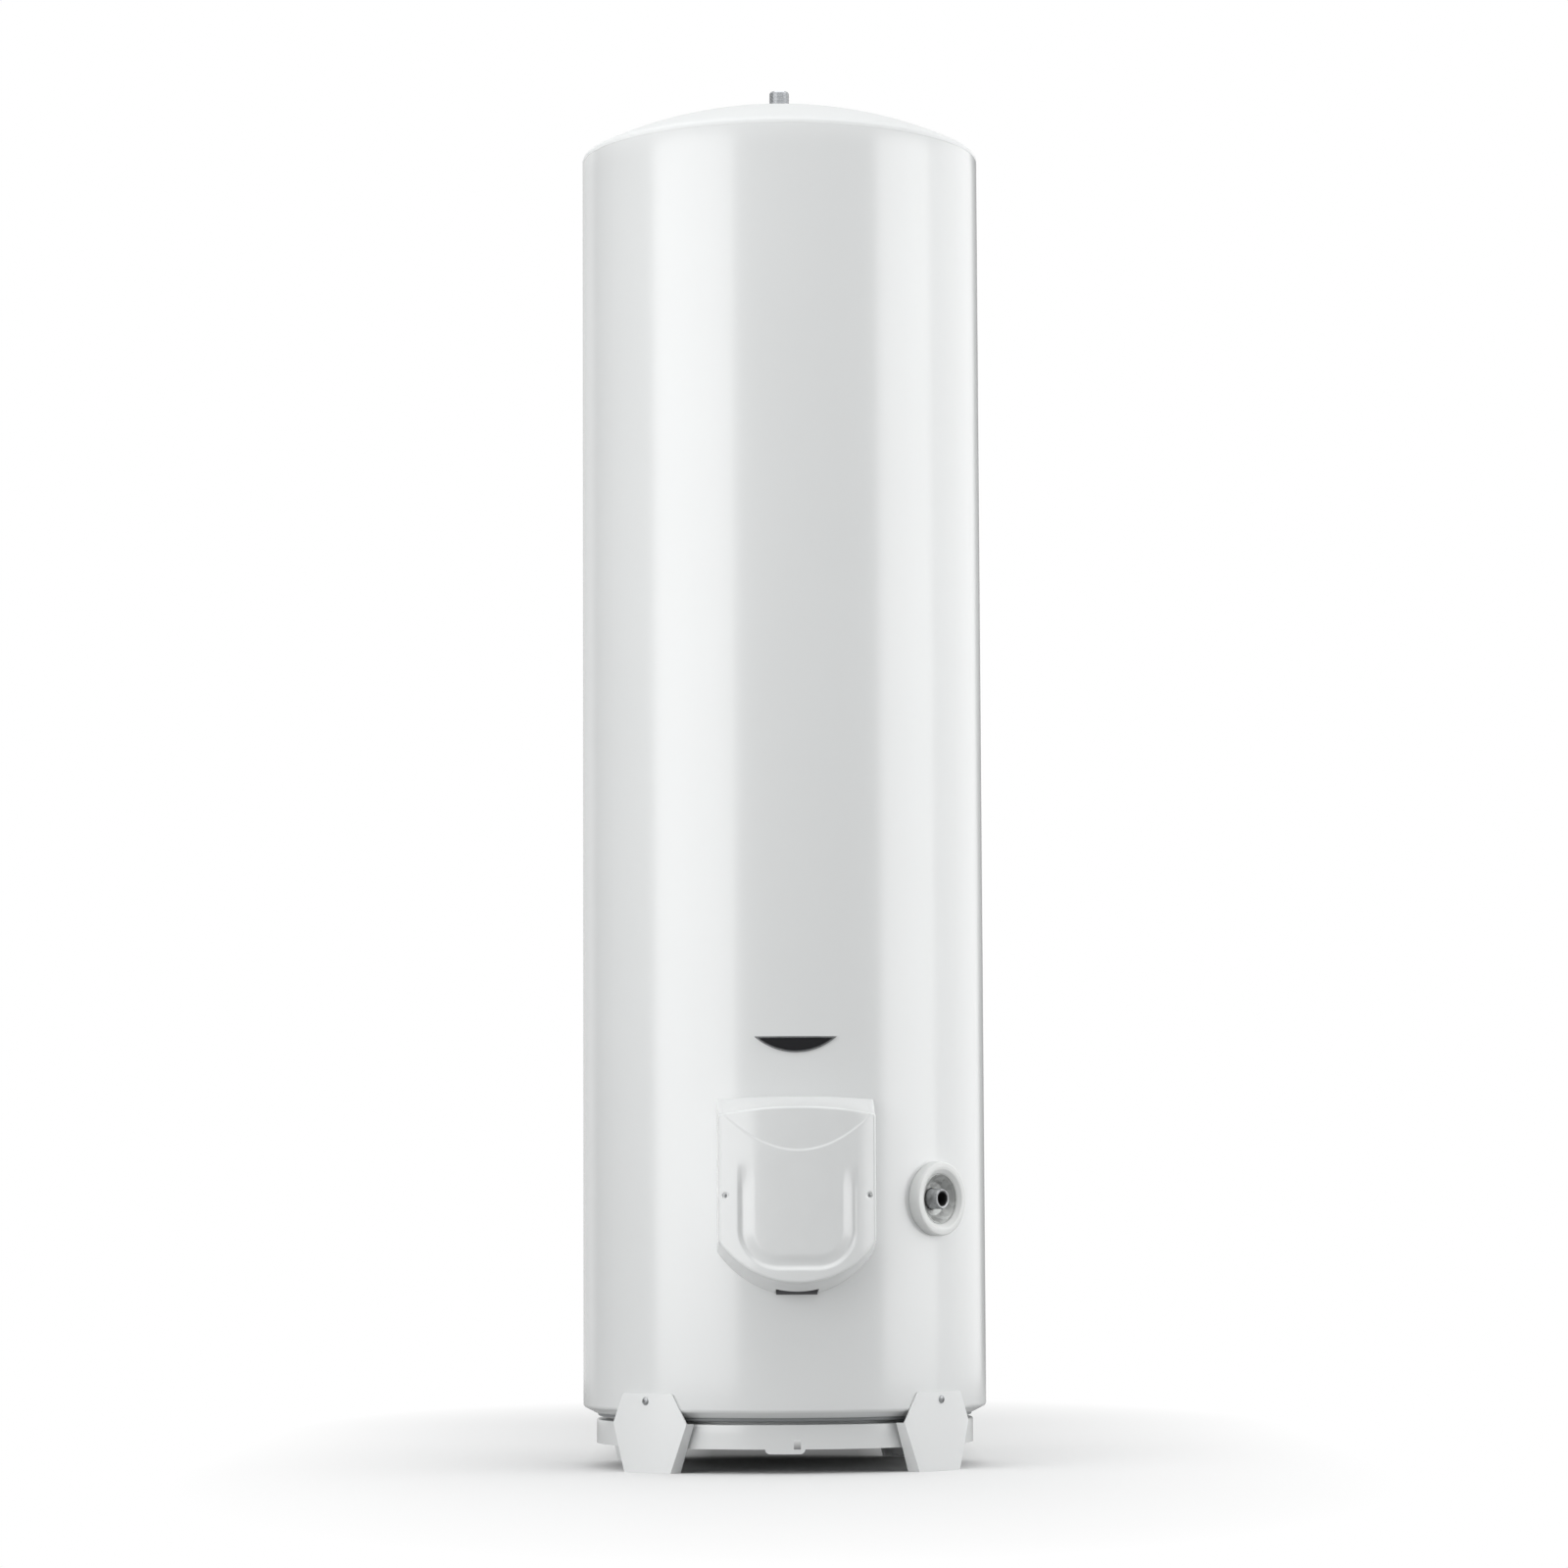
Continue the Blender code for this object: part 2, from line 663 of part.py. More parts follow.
def compartment_frame():
    """A sleeve that keeps the foam away from the flange."""
    low = (-COMPARTMENT_HALF - FRAME_WALL, COMPARTMENT_Z[0] - FRAME_WALL, 0.205)
    high = (COMPARTMENT_HALF + FRAME_WALL, COMPARTMENT_Z[1] + FRAME_WALL, 0.275)
    sleeve = block("compartment_frame", FRONT, low, high, GREY_PLASTIC)
    combine(sleeve, COMPARTMENT_CUT)
    skin = drum("keep_frame", JACKET_RADIUS - JACKET_WALL - GAP, 0.2, 0.5)
    combine(sleeve, skin, "INTERSECT")
    combine(sleeve, drum("cut_frame_back", TANK_RADIUS + GAP, 0.2, 0.5))


def flange_assembly():
    neck = [
        (NECK_BORE, NECK_FACE),
        (FLANGE_RADIUS, NECK_FACE),
        (FLANGE_RADIUS, NECK_BACK),
        (NECK_BORE, NECK_BACK),
    ]
    neck = turned("element_neck", neck, FLANGE, STEEL, steps=FLANGE_STEPS)
    combine(neck, drum("cut_neck_back", TANK_RADIUS + GAP, 0.2, 0.5))
    seal = [
        (SEAL_RADII[0], FLANGE_BACK - GAP),
        (SEAL_RADII[1], FLANGE_BACK - GAP),
        (SEAL_RADII[1], NECK_FACE + GAP),
        (SEAL_RADII[0], NECK_FACE + GAP),
    ]
    turned("flange_gasket", seal, FLANGE, RUBBER, steps=FLANGE_STEPS)
    flange = rod(
        "element_flange",
        FLANGE,
        (0.0, 0.0),
        FLANGE_RADIUS,
        FLANGE_BACK,
        FLANGE_FRONT,
        STEEL,
        FLANGE_STEPS,
    )
    for i in range(BOLT_COUNT):
        angle = math.radians(BOLT_START + 360 * i / BOLT_COUNT)
        spot = (BOLT_CIRCLE * math.cos(angle), BOLT_CIRCLE * math.sin(angle))
        hole = rod(f"cut_bolt_{i + 1}", FLANGE, spot, BOLT_HOLE, 0.2400, 0.2650, steps=SCREW_STEPS)
        combine(flange, hole)
        combine(neck, hole)
        bolt = hex_head(f"flange_bolt_{i + 1}", spot, BOLT_HEAD, BOLT_HEAD_HEIGHT)
        low = FLANGE_FRONT + GAP - BOLT_LENGTH
        middle = FLANGE_FRONT + GAP + BOLT_HEAD_HEIGHT / 2
        shank = rod(f"join_bolt_{i + 1}", FLANGE, spot, BOLT_SHANK, low, middle, steps=SCREW_STEPS)
        combine(bolt, shank, "UNION")
    for side, x in (("left", -ELEMENT_X), ("right", ELEMENT_X)):
        for row, y in zip(("top", "low"), ELEMENT_HEIGHTS):
            hole_radius = ELEMENT_RADIUS + 0.0006
            hole = rod(f"cut_element_{side}_{row}", FLANGE, (x, y), hole_radius, 0.25, 0.265, steps=12)
            combine(flange, hole)
    pocket = (0.0, POCKET_HEIGHT)
    combine(flange, rod("cut_pocket", FLANGE, pocket, POCKET_RADIUS + 0.0005, 0.25, 0.265, steps=16))
    anode = (0.0, ANODE_HEIGHT)
    combine(flange, rod("cut_anode", FLANGE, anode, ANODE_STEM + 0.0005, 0.25, 0.265, steps=16))


def hex_head(name, spot, radius, thick):
    """A hexagon that lies on the flange."""
    base = FLANGE_FRONT + GAP
    return rod(name, FLANGE, spot, radius, base, base + thick, STEEL, steps=6)


def heating_parts():
    """Two hairpin elements, the thermostat pocket and the anode, all on the flange."""
    top, low = ELEMENT_HEIGHTS
    bend = (top - low) / 2
    for side, x in (("left", -ELEMENT_X), ("right", ELEMENT_X)):
        path = [(x, top, TERMINAL_FRONT), (x, top, ELEMENT_END)]
        for z, y in arc((ELEMENT_END, (top + low) / 2), bend, 90, 270, 8)[1:-1]:
            path.append((x, y, z))
        path += [(x, low, ELEMENT_END), (x, low, TERMINAL_FRONT)]
        tube(f"heating_element_{side}", FLANGE, path, ELEMENT_RADIUS, COPPER)
    bore = POCKET_RADIUS - POCKET_WALL
    pocket = [
        (0.0, POCKET_END + POCKET_WALL),
        (bore, POCKET_END + POCKET_WALL),
        (bore, POCKET_FRONT),
        (POCKET_RADIUS, POCKET_FRONT),
        (POCKET_RADIUS, POCKET_END),
        (0.0, POCKET_END),
    ]
    axis = local_frame("pocket_axis", FLANGE, (0.0, POCKET_HEIGHT, 0.0))
    turned("thermostat_pocket", pocket, axis, COPPER, steps=16)
    probe = [(0.0, 0.0, 0.0), (0.0, 0.0, BODY_BACK - GAP)]
    tube("thermostat_probe", axis, probe, PROBE_RADIUS, STEEL)
    anode = local_frame("anode_axis", FLANGE, (0.0, ANODE_HEIGHT, 0.0))
    section = [
        (0.0, 0.2700),
        (ANODE_STEM, 0.2700),
        (ANODE_STEM, 0.2500),
        (ANODE_RADIUS, 0.2500),
        (ANODE_RADIUS, -0.0500),
        (0.0, -0.0500),
    ]
    turned("anode_rod", section, anode, MAGNESIUM, steps=16)
    nut = rod("anode_nut", anode, (0.0, 0.0), ANODE_NUT, FLANGE_FRONT + GAP, 0.2670, STEEL, steps=6)
    combine(nut, rod("cut_anode_nut", anode, (0.0, 0.0), ANODE_STEM + GAP, 0.25, 0.28, steps=16))


def thermostat():
    body = block(
        "thermostat_body",
        FLANGE,
        (-BODY_HALF, BODY_HEIGHTS[0], BODY_BACK),
        (BODY_HALF, BODY_HEIGHTS[1], BODY_FRONT),
        GREY_PLASTIC,
    )
    soften(body, 0.0010)
    shaft = (0.0, KNOB_HEIGHT)
    combine(body, rod("cut_knob_shaft", FLANGE, shaft, KNOB_STEM + 0.0006, 0.2850, 0.30, steps=16))
    press = (0.0, BUTTON_HEIGHT)
    combine(body, rod("cut_button", FLANGE, press, BUTTON_RADIUS + 0.0004, 0.2830, 0.30, steps=16))
    axis = local_frame("knob_axis", FLANGE, (0.0, KNOB_HEIGHT, 0.0))
    section = [
        (0.0, KNOB_FRONT),
        (KNOB_RADIUS - 0.0020, KNOB_FRONT),
        (KNOB_RADIUS - 0.0010, KNOB_FRONT - 0.0010),
        (KNOB_RADIUS, BODY_FRONT + 0.0005),
        (KNOB_STEM, BODY_FRONT + 0.0005),
        (KNOB_STEM, STEM_END),
        (0.0, STEM_END),
    ]
    knob = turned("thermostat_knob", section, axis, GREY_PLASTIC, steps=PIPE_STEPS)
    combine(knob, block("cut_pointer", axis, (-0.0010, 0.0, 0.3025), (0.0010, 0.020, 0.306)))
    combine(knob, block("cut_driver_slot", axis, (-0.0008, -0.0070, 0.3020), (0.0008, 0.0, 0.306)))
    axis = local_frame("button_axis", FLANGE, (0.0, BUTTON_HEIGHT, 0.0))
    section = [
        (0.0, BUTTON_FRONT),
        (BUTTON_RADIUS - 0.0006, BUTTON_FRONT),
        (BUTTON_RADIUS, BUTTON_FRONT - 0.0006),
        (BUTTON_RADIUS, STEM_END),
        (0.0, STEM_END),
    ]
    turned("reset_button", section, axis, RED_PLASTIC, steps=16)


def lead(name, start, end, bow, mat):
    """An upright insulated wire that leaves both its ends straight."""
    steps = 8
    path = []
    for i in range(steps + 1):
        t = i / steps
        ease = t * t * (3 - 2 * t)
        x = start[0] + (end[0] - start[0]) * ease + bow * math.sin(math.pi * ease) ** 2
        path.append((x, start[1] + (end[1] - start[1]) * t, start[2] + (end[2] - start[2]) * ease))
    path[1] = (start[0], path[1][1], start[2])
    path[-2] = (end[0], path[-2][1], end[2])
    tube(name, FLANGE, path, LEAD_RADIUS, mat)


def wiring():
    """Mains terminals, the leads between them and the thermostat, and the cable clamp."""
    low, high = STRIP_HEIGHTS
    strip = block(
        "terminal_block",
        FLANGE,
        (-STRIP_HALF, low, FLANGE_FRONT + GAP),
        (STRIP_HALF, high, STRIP_FRONT),
        GREY_PLASTIC,
    )
    soften(strip, 0.0008)
    for i in range(3):
        spot = (TERMINAL_SPACING * (i - 1), (low + high) / 2)
        hole = rod(f"cut_terminal_{i + 1}", FLANGE, spot, 0.0026, 0.2740, 0.29, steps=12)
        combine(strip, hole)
    stud = hex_head("earth_stud", EARTH_SPOT, 0.0046, 0.0035)
    stem = rod("join_earth_stem", FLANGE, EARTH_SPOT, 0.0022, FLANGE_FRONT + 0.0010, 0.2720, steps=12)
    combine(stud, stem, "UNION")
    base = high + GAP
    seat = BODY_HEIGHTS[0] - GAP
    live = -TERMINAL_SPACING
    lead("live_lead", (live, base, 0.2770), (live, seat, 0.2820), -0.006, WIRE_BROWN)
    lead("neutral_lead", (0.0, base, 0.2770), (0.0, seat, 0.2820), 0.005, WIRE_BLUE)
    earth = (EARTH_SPOT[0], base + 0.027, 0.2740)
    lead("earth_lead", (0.015, base, 0.2770), earth, 0.0, WIRE_GREEN)
    top, low = ELEMENT_HEIGHTS
    for side, sign in (("left", -1), ("right", 1)):
        path = [
            (sign * (BODY_HALF + GAP), 0.0340, 0.2830),
            (sign * (BODY_HALF + 0.0035), 0.0340, 0.2830),
            (sign * (BODY_HALF + 0.0080), 0.0290, 0.2825),
            (sign * (BODY_HALF + 0.0088), 0.0220, 0.2810),
            (sign * (BODY_HALF + 0.0078), 0.0165, 0.2785),
            (sign * ELEMENT_X, top, 0.2755),
            (sign * ELEMENT_X, top, TERMINAL_FRONT + GAP),
        ]
        colour = WIRE_BROWN if sign < 0 else WIRE_BLUE
        tube(f"element_lead_{side}", FLANGE, path, ELEMENT_LEAD_RADIUS, colour)
    link_z = TERMINAL_FRONT + GAP + ELEMENT_LEAD_RADIUS
    link = [(-ELEMENT_X, low, link_z), (0.0, low - 0.004, link_z + 0.001), (ELEMENT_X, low, link_z)]
    tube("element_link", FLANGE, link, ELEMENT_LEAD_RADIUS, COPPER)


def cable_clamp():
    """A strap on the jacket, just above the notch where the mains cable enters."""
    outline = [
        (-0.024, -0.2656),
        (-0.024, -0.2680),
        (-0.011, -0.2680),
        (-0.011, -0.2780),
        (0.011, -0.2780),
        (0.011, -0.2680),
        (0.024, -0.2680),
        (0.024, -0.2656),
        (0.0088, -0.2656),
        (0.0088, -0.2756),
        (-0.0088, -0.2756),
        (-0.0088, -0.2656),
    ]
    extruded("cable_clamp", TANK_AXIS, outline, 0.2480, 0.2580, STEEL)


def hood_outline(depth, inset):
    """The hood's outline in front view at a depth, as (x, height) points."""
    half = HOOD_HALF - inset
    top = HOOD_TOP + (HOOD_FRONT - depth) * HOOD_TOP_SLOPE - inset
    top_corner = HOOD_TOP_CORNER + (HOOD_SIDE_FRONT - depth) * HOOD_TOP_SLOPE - inset
    low = HOOD_BOTTOM - (HOOD_FRONT - depth) * HOOD_BOTTOM_SLOPE + inset
    low_corner = HOOD_BOTTOM_CORNER - (HOOD_SIDE_FRONT - depth) * HOOD_BOTTOM_SLOPE + inset
    belly = low_corner - low
    bow = (half**2 + belly**2) / (2 * belly)
    points = []
    for i in range(17):
        x = -half + 2 * half * i / 16
        points.append((x, low + bow - math.sqrt(bow**2 - x**2)))
    for i in range(9):
        x = half - 2 * half * i / 8
        points.append((x, top + (top_corner - top) * (x / half) ** 2))
    return points


def hood_core(name, inset, rear, mat=None):
    """A loft between the hood's rear and front outlines."""
    work = bmesh.new()
    loops = []
    for depth in (rear, HOOD_FRONT_PLANE):
        loops.append([work.verts.new((x, y, depth)) for x, y in hood_outline(depth, inset)])
    back, front = loops
    count = len(back)
    for i in range(count):
        j = (i + 1) % count
        work.faces.new((back[i], back[j], front[j], front[i]))
    work.faces.new(back[::-1])
    work.faces.new(front)
    bmesh.ops.recalc_face_normals(work, faces=work.faces)
    mesh = bpy.data.meshes.new(name)
    work.to_mesh(mesh)
    work.free()
    return place(name, mesh, FRONT, mat)


def front_bow(name, radius):
    """The upright cylinder that gives the hood its bowed front."""
    centre = HOOD_FRONT - HOOD_FRONT_CURVE
    work = bmesh.new()
    bmesh.ops.create_cone(work, cap_ends=True, segments=72, radius1=radius, radius2=radius, depth=0.4)
    bmesh.ops.translate(work, verts=work.verts, vec=(0.0, -centre, 0.35))
    mesh = bpy.data.meshes.new(name)
    work.to_mesh(mesh)
    work.free()
    return place(name, mesh, TANK_AXIS, None)


def hood():
    inside = hood_core("cut_hood_inside", HOOD_WALL, HOOD_REAR_PLANE - 0.004)
    combine(inside, front_bow("keep_inner_bow", HOOD_FRONT_CURVE - HOOD_WALL), "INTERSECT")
    shell = hood_core("hood", 0.0, HOOD_REAR_PLANE, WHITE_PLASTIC)
    combine(shell, front_bow("keep_outer_bow", HOOD_FRONT_CURVE), "INTERSECT")
    combine(shell, inside)
    combine(shell, drum("cut_hood_back", JACKET_RADIUS + GAP, 0.15, 0.55))
    low = (-NOTCH_HALF, 0.20, 0.25)
    high = (NOTCH_HALF, NOTCH_TOP, NOTCH_DEPTH)
    combine(shell, block("cut_cable_notch", FRONT, low, high))
    for side, sign in (("left", -1), ("right", 1)):
        hood_fixing(shell, side, sign)


def hood_fixing(shell, side, sign):
    """A screw through the hood into its bent-sheet bracket on the jacket."""
    spot = (sign * HOOD_SCREW_X, HOOD_SCREW_Z)
    hole = rod(f"cut_hood_screw_{side}", FRONT, spot, HOOD_SCREW_HOLE, 0.25, 0.31, steps=12)
    combine(shell, hole)
    inboard = HOOD_SCREW_X - 0.0028
    seat = HOOD_FRONT - HOOD_FRONT_CURVE + math.sqrt(HOOD_FRONT_CURVE**2 - inboard**2) + GAP
    pan_head(
        f"hood_screw_{side}",
        FRONT,
        (*spot, seat),
        HOOD_SCREW_HEAD,
        HOOD_SCREW_SHANK,
        HOOD_SCREW_LENGTH,
    )
    near, far = BRACKET_WEB_X
    lip_back = BRACKET_FRONT - BRACKET_LIP
    section = [
        (near, BRACKET_REAR),
        (far, BRACKET_REAR),
        (far, lip_back),
        (BRACKET_LIP_X, lip_back),
        (BRACKET_LIP_X, BRACKET_FRONT),
        (near, BRACKET_FRONT),
    ]
    outline = [(sign * x, -depth) for x, depth in section]
    low = HOOD_SCREW_Z - BRACKET_HALF_HEIGHT
    high = HOOD_SCREW_Z + BRACKET_HALF_HEIGHT
    bracket = extruded(f"hood_bracket_{side}", TANK_AXIS, outline, low, high, STEEL)
    combine(bracket, bpy.data.objects["cut_hood_back"])
    combine(bracket, hole)


def badge_outline(inset):
    """A circular segment with its straight edge on top."""
    half = BADGE_HALF - inset * 3.0
    top = BADGE_TOP - inset
    low = BADGE_BOTTOM + inset
    sag = top - low
    radius = (half**2 + sag**2) / (2 * sag)
    reach = math.degrees(math.asin(half / radius))
    return arc((0.0, low + radius), radius, -90 - reach, -90 + reach, 20)


def curved_plate(name, outline, proud, mat):
    """A plate that lies on the jacket and follows its curve."""
    inner = JACKET_RADIUS + GAP
    outer = inner + proud
    plate = extruded(name, FRONT, outline, 0.25, 0.28, mat)
    skin = turned(
        f"keep_{name}",
        [(inner, 0.58), (outer, 0.58), (outer, 0.51), (inner, 0.51)],
        TANK_AXIS,
        None,
    )
    return plate, skin


def badge():
    """A blank plate in a thin frame, curved with the jacket."""
    rim, skin = curved_plate("badge_rim", badge_outline(0.0), BADGE_PROUD, SILVER)
    combine(rim, extruded("cut_badge", FRONT, badge_outline(BADGE_RIM), 0.24, 0.29))
    combine(rim, skin, "INTERSECT")
    outline = badge_outline(BADGE_RIM + GAP)
    plate, skin = curved_plate("badge_plate", outline, BADGE_PROUD - 0.0004, BLACK_GLOSS)
    combine(plate, skin, "INTERSECT")


outer_jacket()
top_cover()
bottom_pan()
base_ring()
legs()
tank()
insulation_foam()
water_pipes()
inlet_parts()
compartment_frame()
flange_assembly()
heating_parts()
thermostat()
wiring()
cable_clamp()
hood()
badge()
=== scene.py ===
"""The water heater's looks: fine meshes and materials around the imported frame."""
import math

import bmesh
import bpy
from mathutils import Matrix, Vector


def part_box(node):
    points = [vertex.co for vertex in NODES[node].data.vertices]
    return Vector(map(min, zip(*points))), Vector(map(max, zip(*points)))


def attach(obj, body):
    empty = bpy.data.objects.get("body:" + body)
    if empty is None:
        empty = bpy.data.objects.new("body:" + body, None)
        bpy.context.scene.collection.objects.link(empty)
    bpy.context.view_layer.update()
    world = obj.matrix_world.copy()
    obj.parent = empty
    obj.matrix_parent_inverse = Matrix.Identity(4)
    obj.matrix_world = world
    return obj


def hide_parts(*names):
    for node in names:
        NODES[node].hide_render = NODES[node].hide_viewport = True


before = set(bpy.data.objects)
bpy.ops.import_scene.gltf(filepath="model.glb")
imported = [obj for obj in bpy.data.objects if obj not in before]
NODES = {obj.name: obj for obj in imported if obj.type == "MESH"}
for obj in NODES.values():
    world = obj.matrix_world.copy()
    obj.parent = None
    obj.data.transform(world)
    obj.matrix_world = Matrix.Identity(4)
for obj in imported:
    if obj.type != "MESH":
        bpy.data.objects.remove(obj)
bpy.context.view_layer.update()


# ---------------------------------------------------------------- frame sizes
JACKET_LOW, JACKET_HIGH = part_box("outer_jacket")
RADIUS = (JACKET_HIGH.x - JACKET_LOW.x) / 2
AXIS_Y = (JACKET_LOW.y + JACKET_HIGH.y) / 2
RING_LOW, RING_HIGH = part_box("base_ring")
PAN_LOW, PAN_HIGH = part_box("bottom_pan")
PIPE_LOW, PIPE_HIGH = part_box("hot_outlet_pipe")
HOOD_LOW, HOOD_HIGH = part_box("hood")
BADGE_LOW, BADGE_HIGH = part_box("badge_rim")
GAP = 0.0003

INLET_AZIMUTH = 44
LEG_AZIMUTHS = {"front_left": -45, "front_right": 45, "rear_right": 135, "rear_left": -135}


# ------------------------------------------------------------- node materials
def feed(tree, node, inputs):
    """Sets a node's inputs to plain values, or links them to other nodes' outputs."""
    for name, value in inputs.items():
        if isinstance(value, bpy.types.NodeSocket):
            tree.links.new(value, node.inputs[name])
        else:
            node.inputs[name].default_value = value


def new_node(tree, kind, inputs=None):
    """A new shader node with its inputs fed."""
    node = tree.nodes.new("ShaderNode" + kind)
    feed(tree, node, inputs or {})
    return node


def shader_of(name, colour, roughness, metallic=0.0):
    """A new Principled material with its tree and shader."""
    mat = bpy.data.materials.new(name)
    mat.use_nodes = True
    tree = mat.node_tree
    shader = tree.nodes["Principled BSDF"]
    feed(tree, shader, {"Base Color": (*colour, 1.0), "Roughness": roughness, "Metallic": metallic})
    return mat, tree, shader


def noise(tree, scale, detail=3.0, stretch=(1.0, 1.0, 1.0)):
    """Noise in object space, in features per metre."""
    coords = new_node(tree, "TexCoord").outputs["Object"]
    place = new_node(tree, "Mapping", {"Vector": coords, "Scale": stretch}).outputs["Vector"]
    return new_node(tree, "TexNoise", {"Vector": place, "Scale": scale, "Detail": detail}).outputs["Fac"]


def remap(tree, value, low, high, start=0.3, end=0.7):
    """A value spread from start..end to low..high."""
    limits = {"From Min": start, "From Max": end, "To Min": low, "To Max": high}
    return new_node(tree, "MapRange", {"Value": value, **limits}).outputs["Result"]


def blend_colours(tree, value, first, second, start=0.35, end=0.65):
    """A colour between two, by a value."""
    node = new_node(tree, "ValToRGB", {"Fac": value})
    for stop, place, colour in zip(node.color_ramp.elements, (start, end), (first, second)):
        stop.position = place
        stop.color = (*colour, 1.0)
    return node.outputs["Color"]


def cells(tree, scale):
    """Crystals or pores in object space."""
    coords = new_node(tree, "TexCoord").outputs["Object"]
    return new_node(tree, "TexVoronoi", {"Vector": coords, "Scale": scale, "Randomness": 1.0})


def coordinates(tree, kind):
    """X, Y and Z of a point on the surface or of a direction."""
    coords = new_node(tree, "TexCoord").outputs[kind]
    return new_node(tree, "SeparateXYZ", {"Vector": coords}).outputs


def uneven(tree, shader, colour, roughness, dull, spread, scales):
    """Lets a finish's colour and gloss drift a little over its surface."""
    cloud, patch = noise(tree, scales[0], 2.0), noise(tree, scales[1], 1.0)
    darker = tuple(c * dull for c in colour)
    feed(tree, shader, {
        "Base Color": blend_colours(tree, cloud, darker, colour, 0.2, 0.8),
        "Roughness": remap(tree, patch, roughness - spread, roughness + spread, 0.0, 1.0),
    })


def bump(tree, shader, height, strength, distance, before=None):
    """Bumps the shading by a height, on top of an earlier bump if there is one."""
    node = new_node(tree, "Bump", {"Height": height, "Strength": strength, "Distance": distance})
    if before is not None:
        feed(tree, node, {"Normal": before})
    feed(tree, shader, {"Normal": node.outputs["Normal"]})
    return node.outputs["Normal"]


def enamel(name, colour=(0.80, 0.81, 0.81), roughness=0.24, wave=0.12, coat=0.6):
    """Baked white paint on sheet steel: faint orange peel over slow waves in the sheet."""
    mat, tree, shader = shader_of(name, colour, roughness)
    specular = 0.4 + 0.6 * coat
    feed(tree, shader, {"Specular IOR Level": specular, "Coat Weight": coat, "Coat Roughness": 0.18})
    uneven(tree, shader, colour, roughness, 0.985, 0.02, (5.0, 9.0))
    slow = bump(tree, shader, noise(tree, 4.0, 1.0, (1.0, 1.0, 0.35)), wave, 0.0006)
    bump(tree, shader, noise(tree, 160.0, 1.0), 0.02, 0.0002, slow)
    return mat


def moulded(name, colour, roughness, grain=900.0, depth=0.06, coat=0.0):
    """Moulded plastic with a fine grain and slightly uneven gloss."""
    mat, tree, shader = shader_of(name, colour, roughness)
    feed(tree, shader, {"Coat Weight": coat, "Coat Roughness": 0.15})
    uneven(tree, shader, colour, roughness, 0.975, 0.03, (30.0, 60.0))
    bump(tree, shader, noise(tree, grain, 1.0), depth, 0.0002)
    return mat


def zinc(name, colour=(0.50, 0.51, 0.52), roughness=0.42, spangle=240.0):
    """Zinc-plated steel: grey crystals of slightly different tone and gloss."""
    mat, tree, shader = shader_of(name, colour, roughness, 0.85)
    crystals = cells(tree, spangle).outputs["Color"]
    tone = new_node(tree, "RGBToBW", {"Color": crystals}).outputs["Val"]
    dark = tuple(c * 0.62 for c in colour)
    feed(tree, shader, {
        "Base Color": blend_colours(tree, tone, dark, colour, 0.15, 0.9),
        "Roughness": remap(tree, tone, roughness - 0.1, roughness + 0.14, 0.1, 0.9),
    })
    bump(tree, shader, noise(tree, 500.0, 4.0), 0.15, 0.0004)
    return mat


def brushed(name, colour, roughness, stretch=(1.0, 1.0, 12.0)):
    """Worked metal with fine lines across the stretched direction."""
    mat, tree, shader = shader_of(name, colour, roughness, 1.0)
    lines = noise(tree, 260.0, 4.0, stretch)
    dark = tuple(c * 0.82 for c in colour)
    feed(tree, shader, {
        "Base Color": blend_colours(tree, lines, dark, colour),
        "Roughness": remap(tree, lines, roughness - 0.05, roughness + 0.1),
    })
    bump(tree, shader, lines, 0.08, 0.0002)
    return mat


def foam_material():
    """Polyurethane foam: straw-coloured skin with open cells where it is cut."""
    mat, tree, shader = shader_of("pu_foam", (0.80, 0.66, 0.36), 0.9)
    colour = blend_colours(tree, noise(tree, 18.0, 5.0), (0.62, 0.46, 0.20), (0.86, 0.74, 0.44))
    feed(tree, shader, {"Base Color": colour})
    bump(tree, shader, cells(tree, 320.0).outputs["Distance"], 0.7, 0.0012)
    return mat


PAINT = enamel("white_enamel")
COVER_PAINT = enamel("cover_enamel", (0.86, 0.87, 0.87), roughness=0.5, wave=0.06, coat=0.0)
LEG_PAINT = enamel("leg_enamel", (0.87, 0.88, 0.88), roughness=0.34, wave=0.10, coat=0.3)
# Dark grey paint for the pan: painted shade standing in for the shadow under the jacket's overhang.
PAN_SHADE_PAINT = enamel("pan_painted_shade", (0.30, 0.31, 0.32), roughness=0.45, wave=0.10, coat=0.1)
HOOD_PLASTIC = moulded("hood_plastic", (0.80, 0.81, 0.81), 0.22, 220.0, 0.015, 0.6)
COLLAR_PLASTIC = moulded("collar_plastic", (0.80, 0.81, 0.80), 0.32, 300.0, 0.03, 0.3)
GREY_PLASTIC = moulded("grey_plastic", (0.30, 0.31, 0.32), 0.5)
DARK_PLASTIC = moulded("dark_plastic", (0.035, 0.036, 0.038), 0.42)
RED_PLASTIC = moulded("red_plastic", (0.62, 0.04, 0.03), 0.32)
BADGE_BLACK = moulded("badge_black", (0.012, 0.012, 0.014), 0.16, 500.0, 0.01, 0.8)
BADGE_TRIM = brushed("badge_trim", (0.78, 0.79, 0.80), 0.2, (12.0, 1.0, 1.0))
ZINC = zinc("zinc_plate")
BOWL_ZINC = zinc("galvanised_bowl", (0.66, 0.67, 0.66), 0.55, 170.0)
CHROME = brushed("pipe_chrome", (0.52, 0.53, 0.55), 0.10)
STEEL = brushed("plain_steel", (0.50, 0.50, 0.51), 0.34)
COPPER = brushed("copper_sheath", (0.72, 0.36, 0.22), 0.32)
BRASS = brushed("brass_screw", (0.78, 0.58, 0.25), 0.28)
MAGNESIUM = zinc("magnesium", (0.58, 0.58, 0.56), 0.62, 500.0)
RUBBER = moulded("black_rubber", (0.02, 0.02, 0.021), 0.75, 600.0, 0.2)
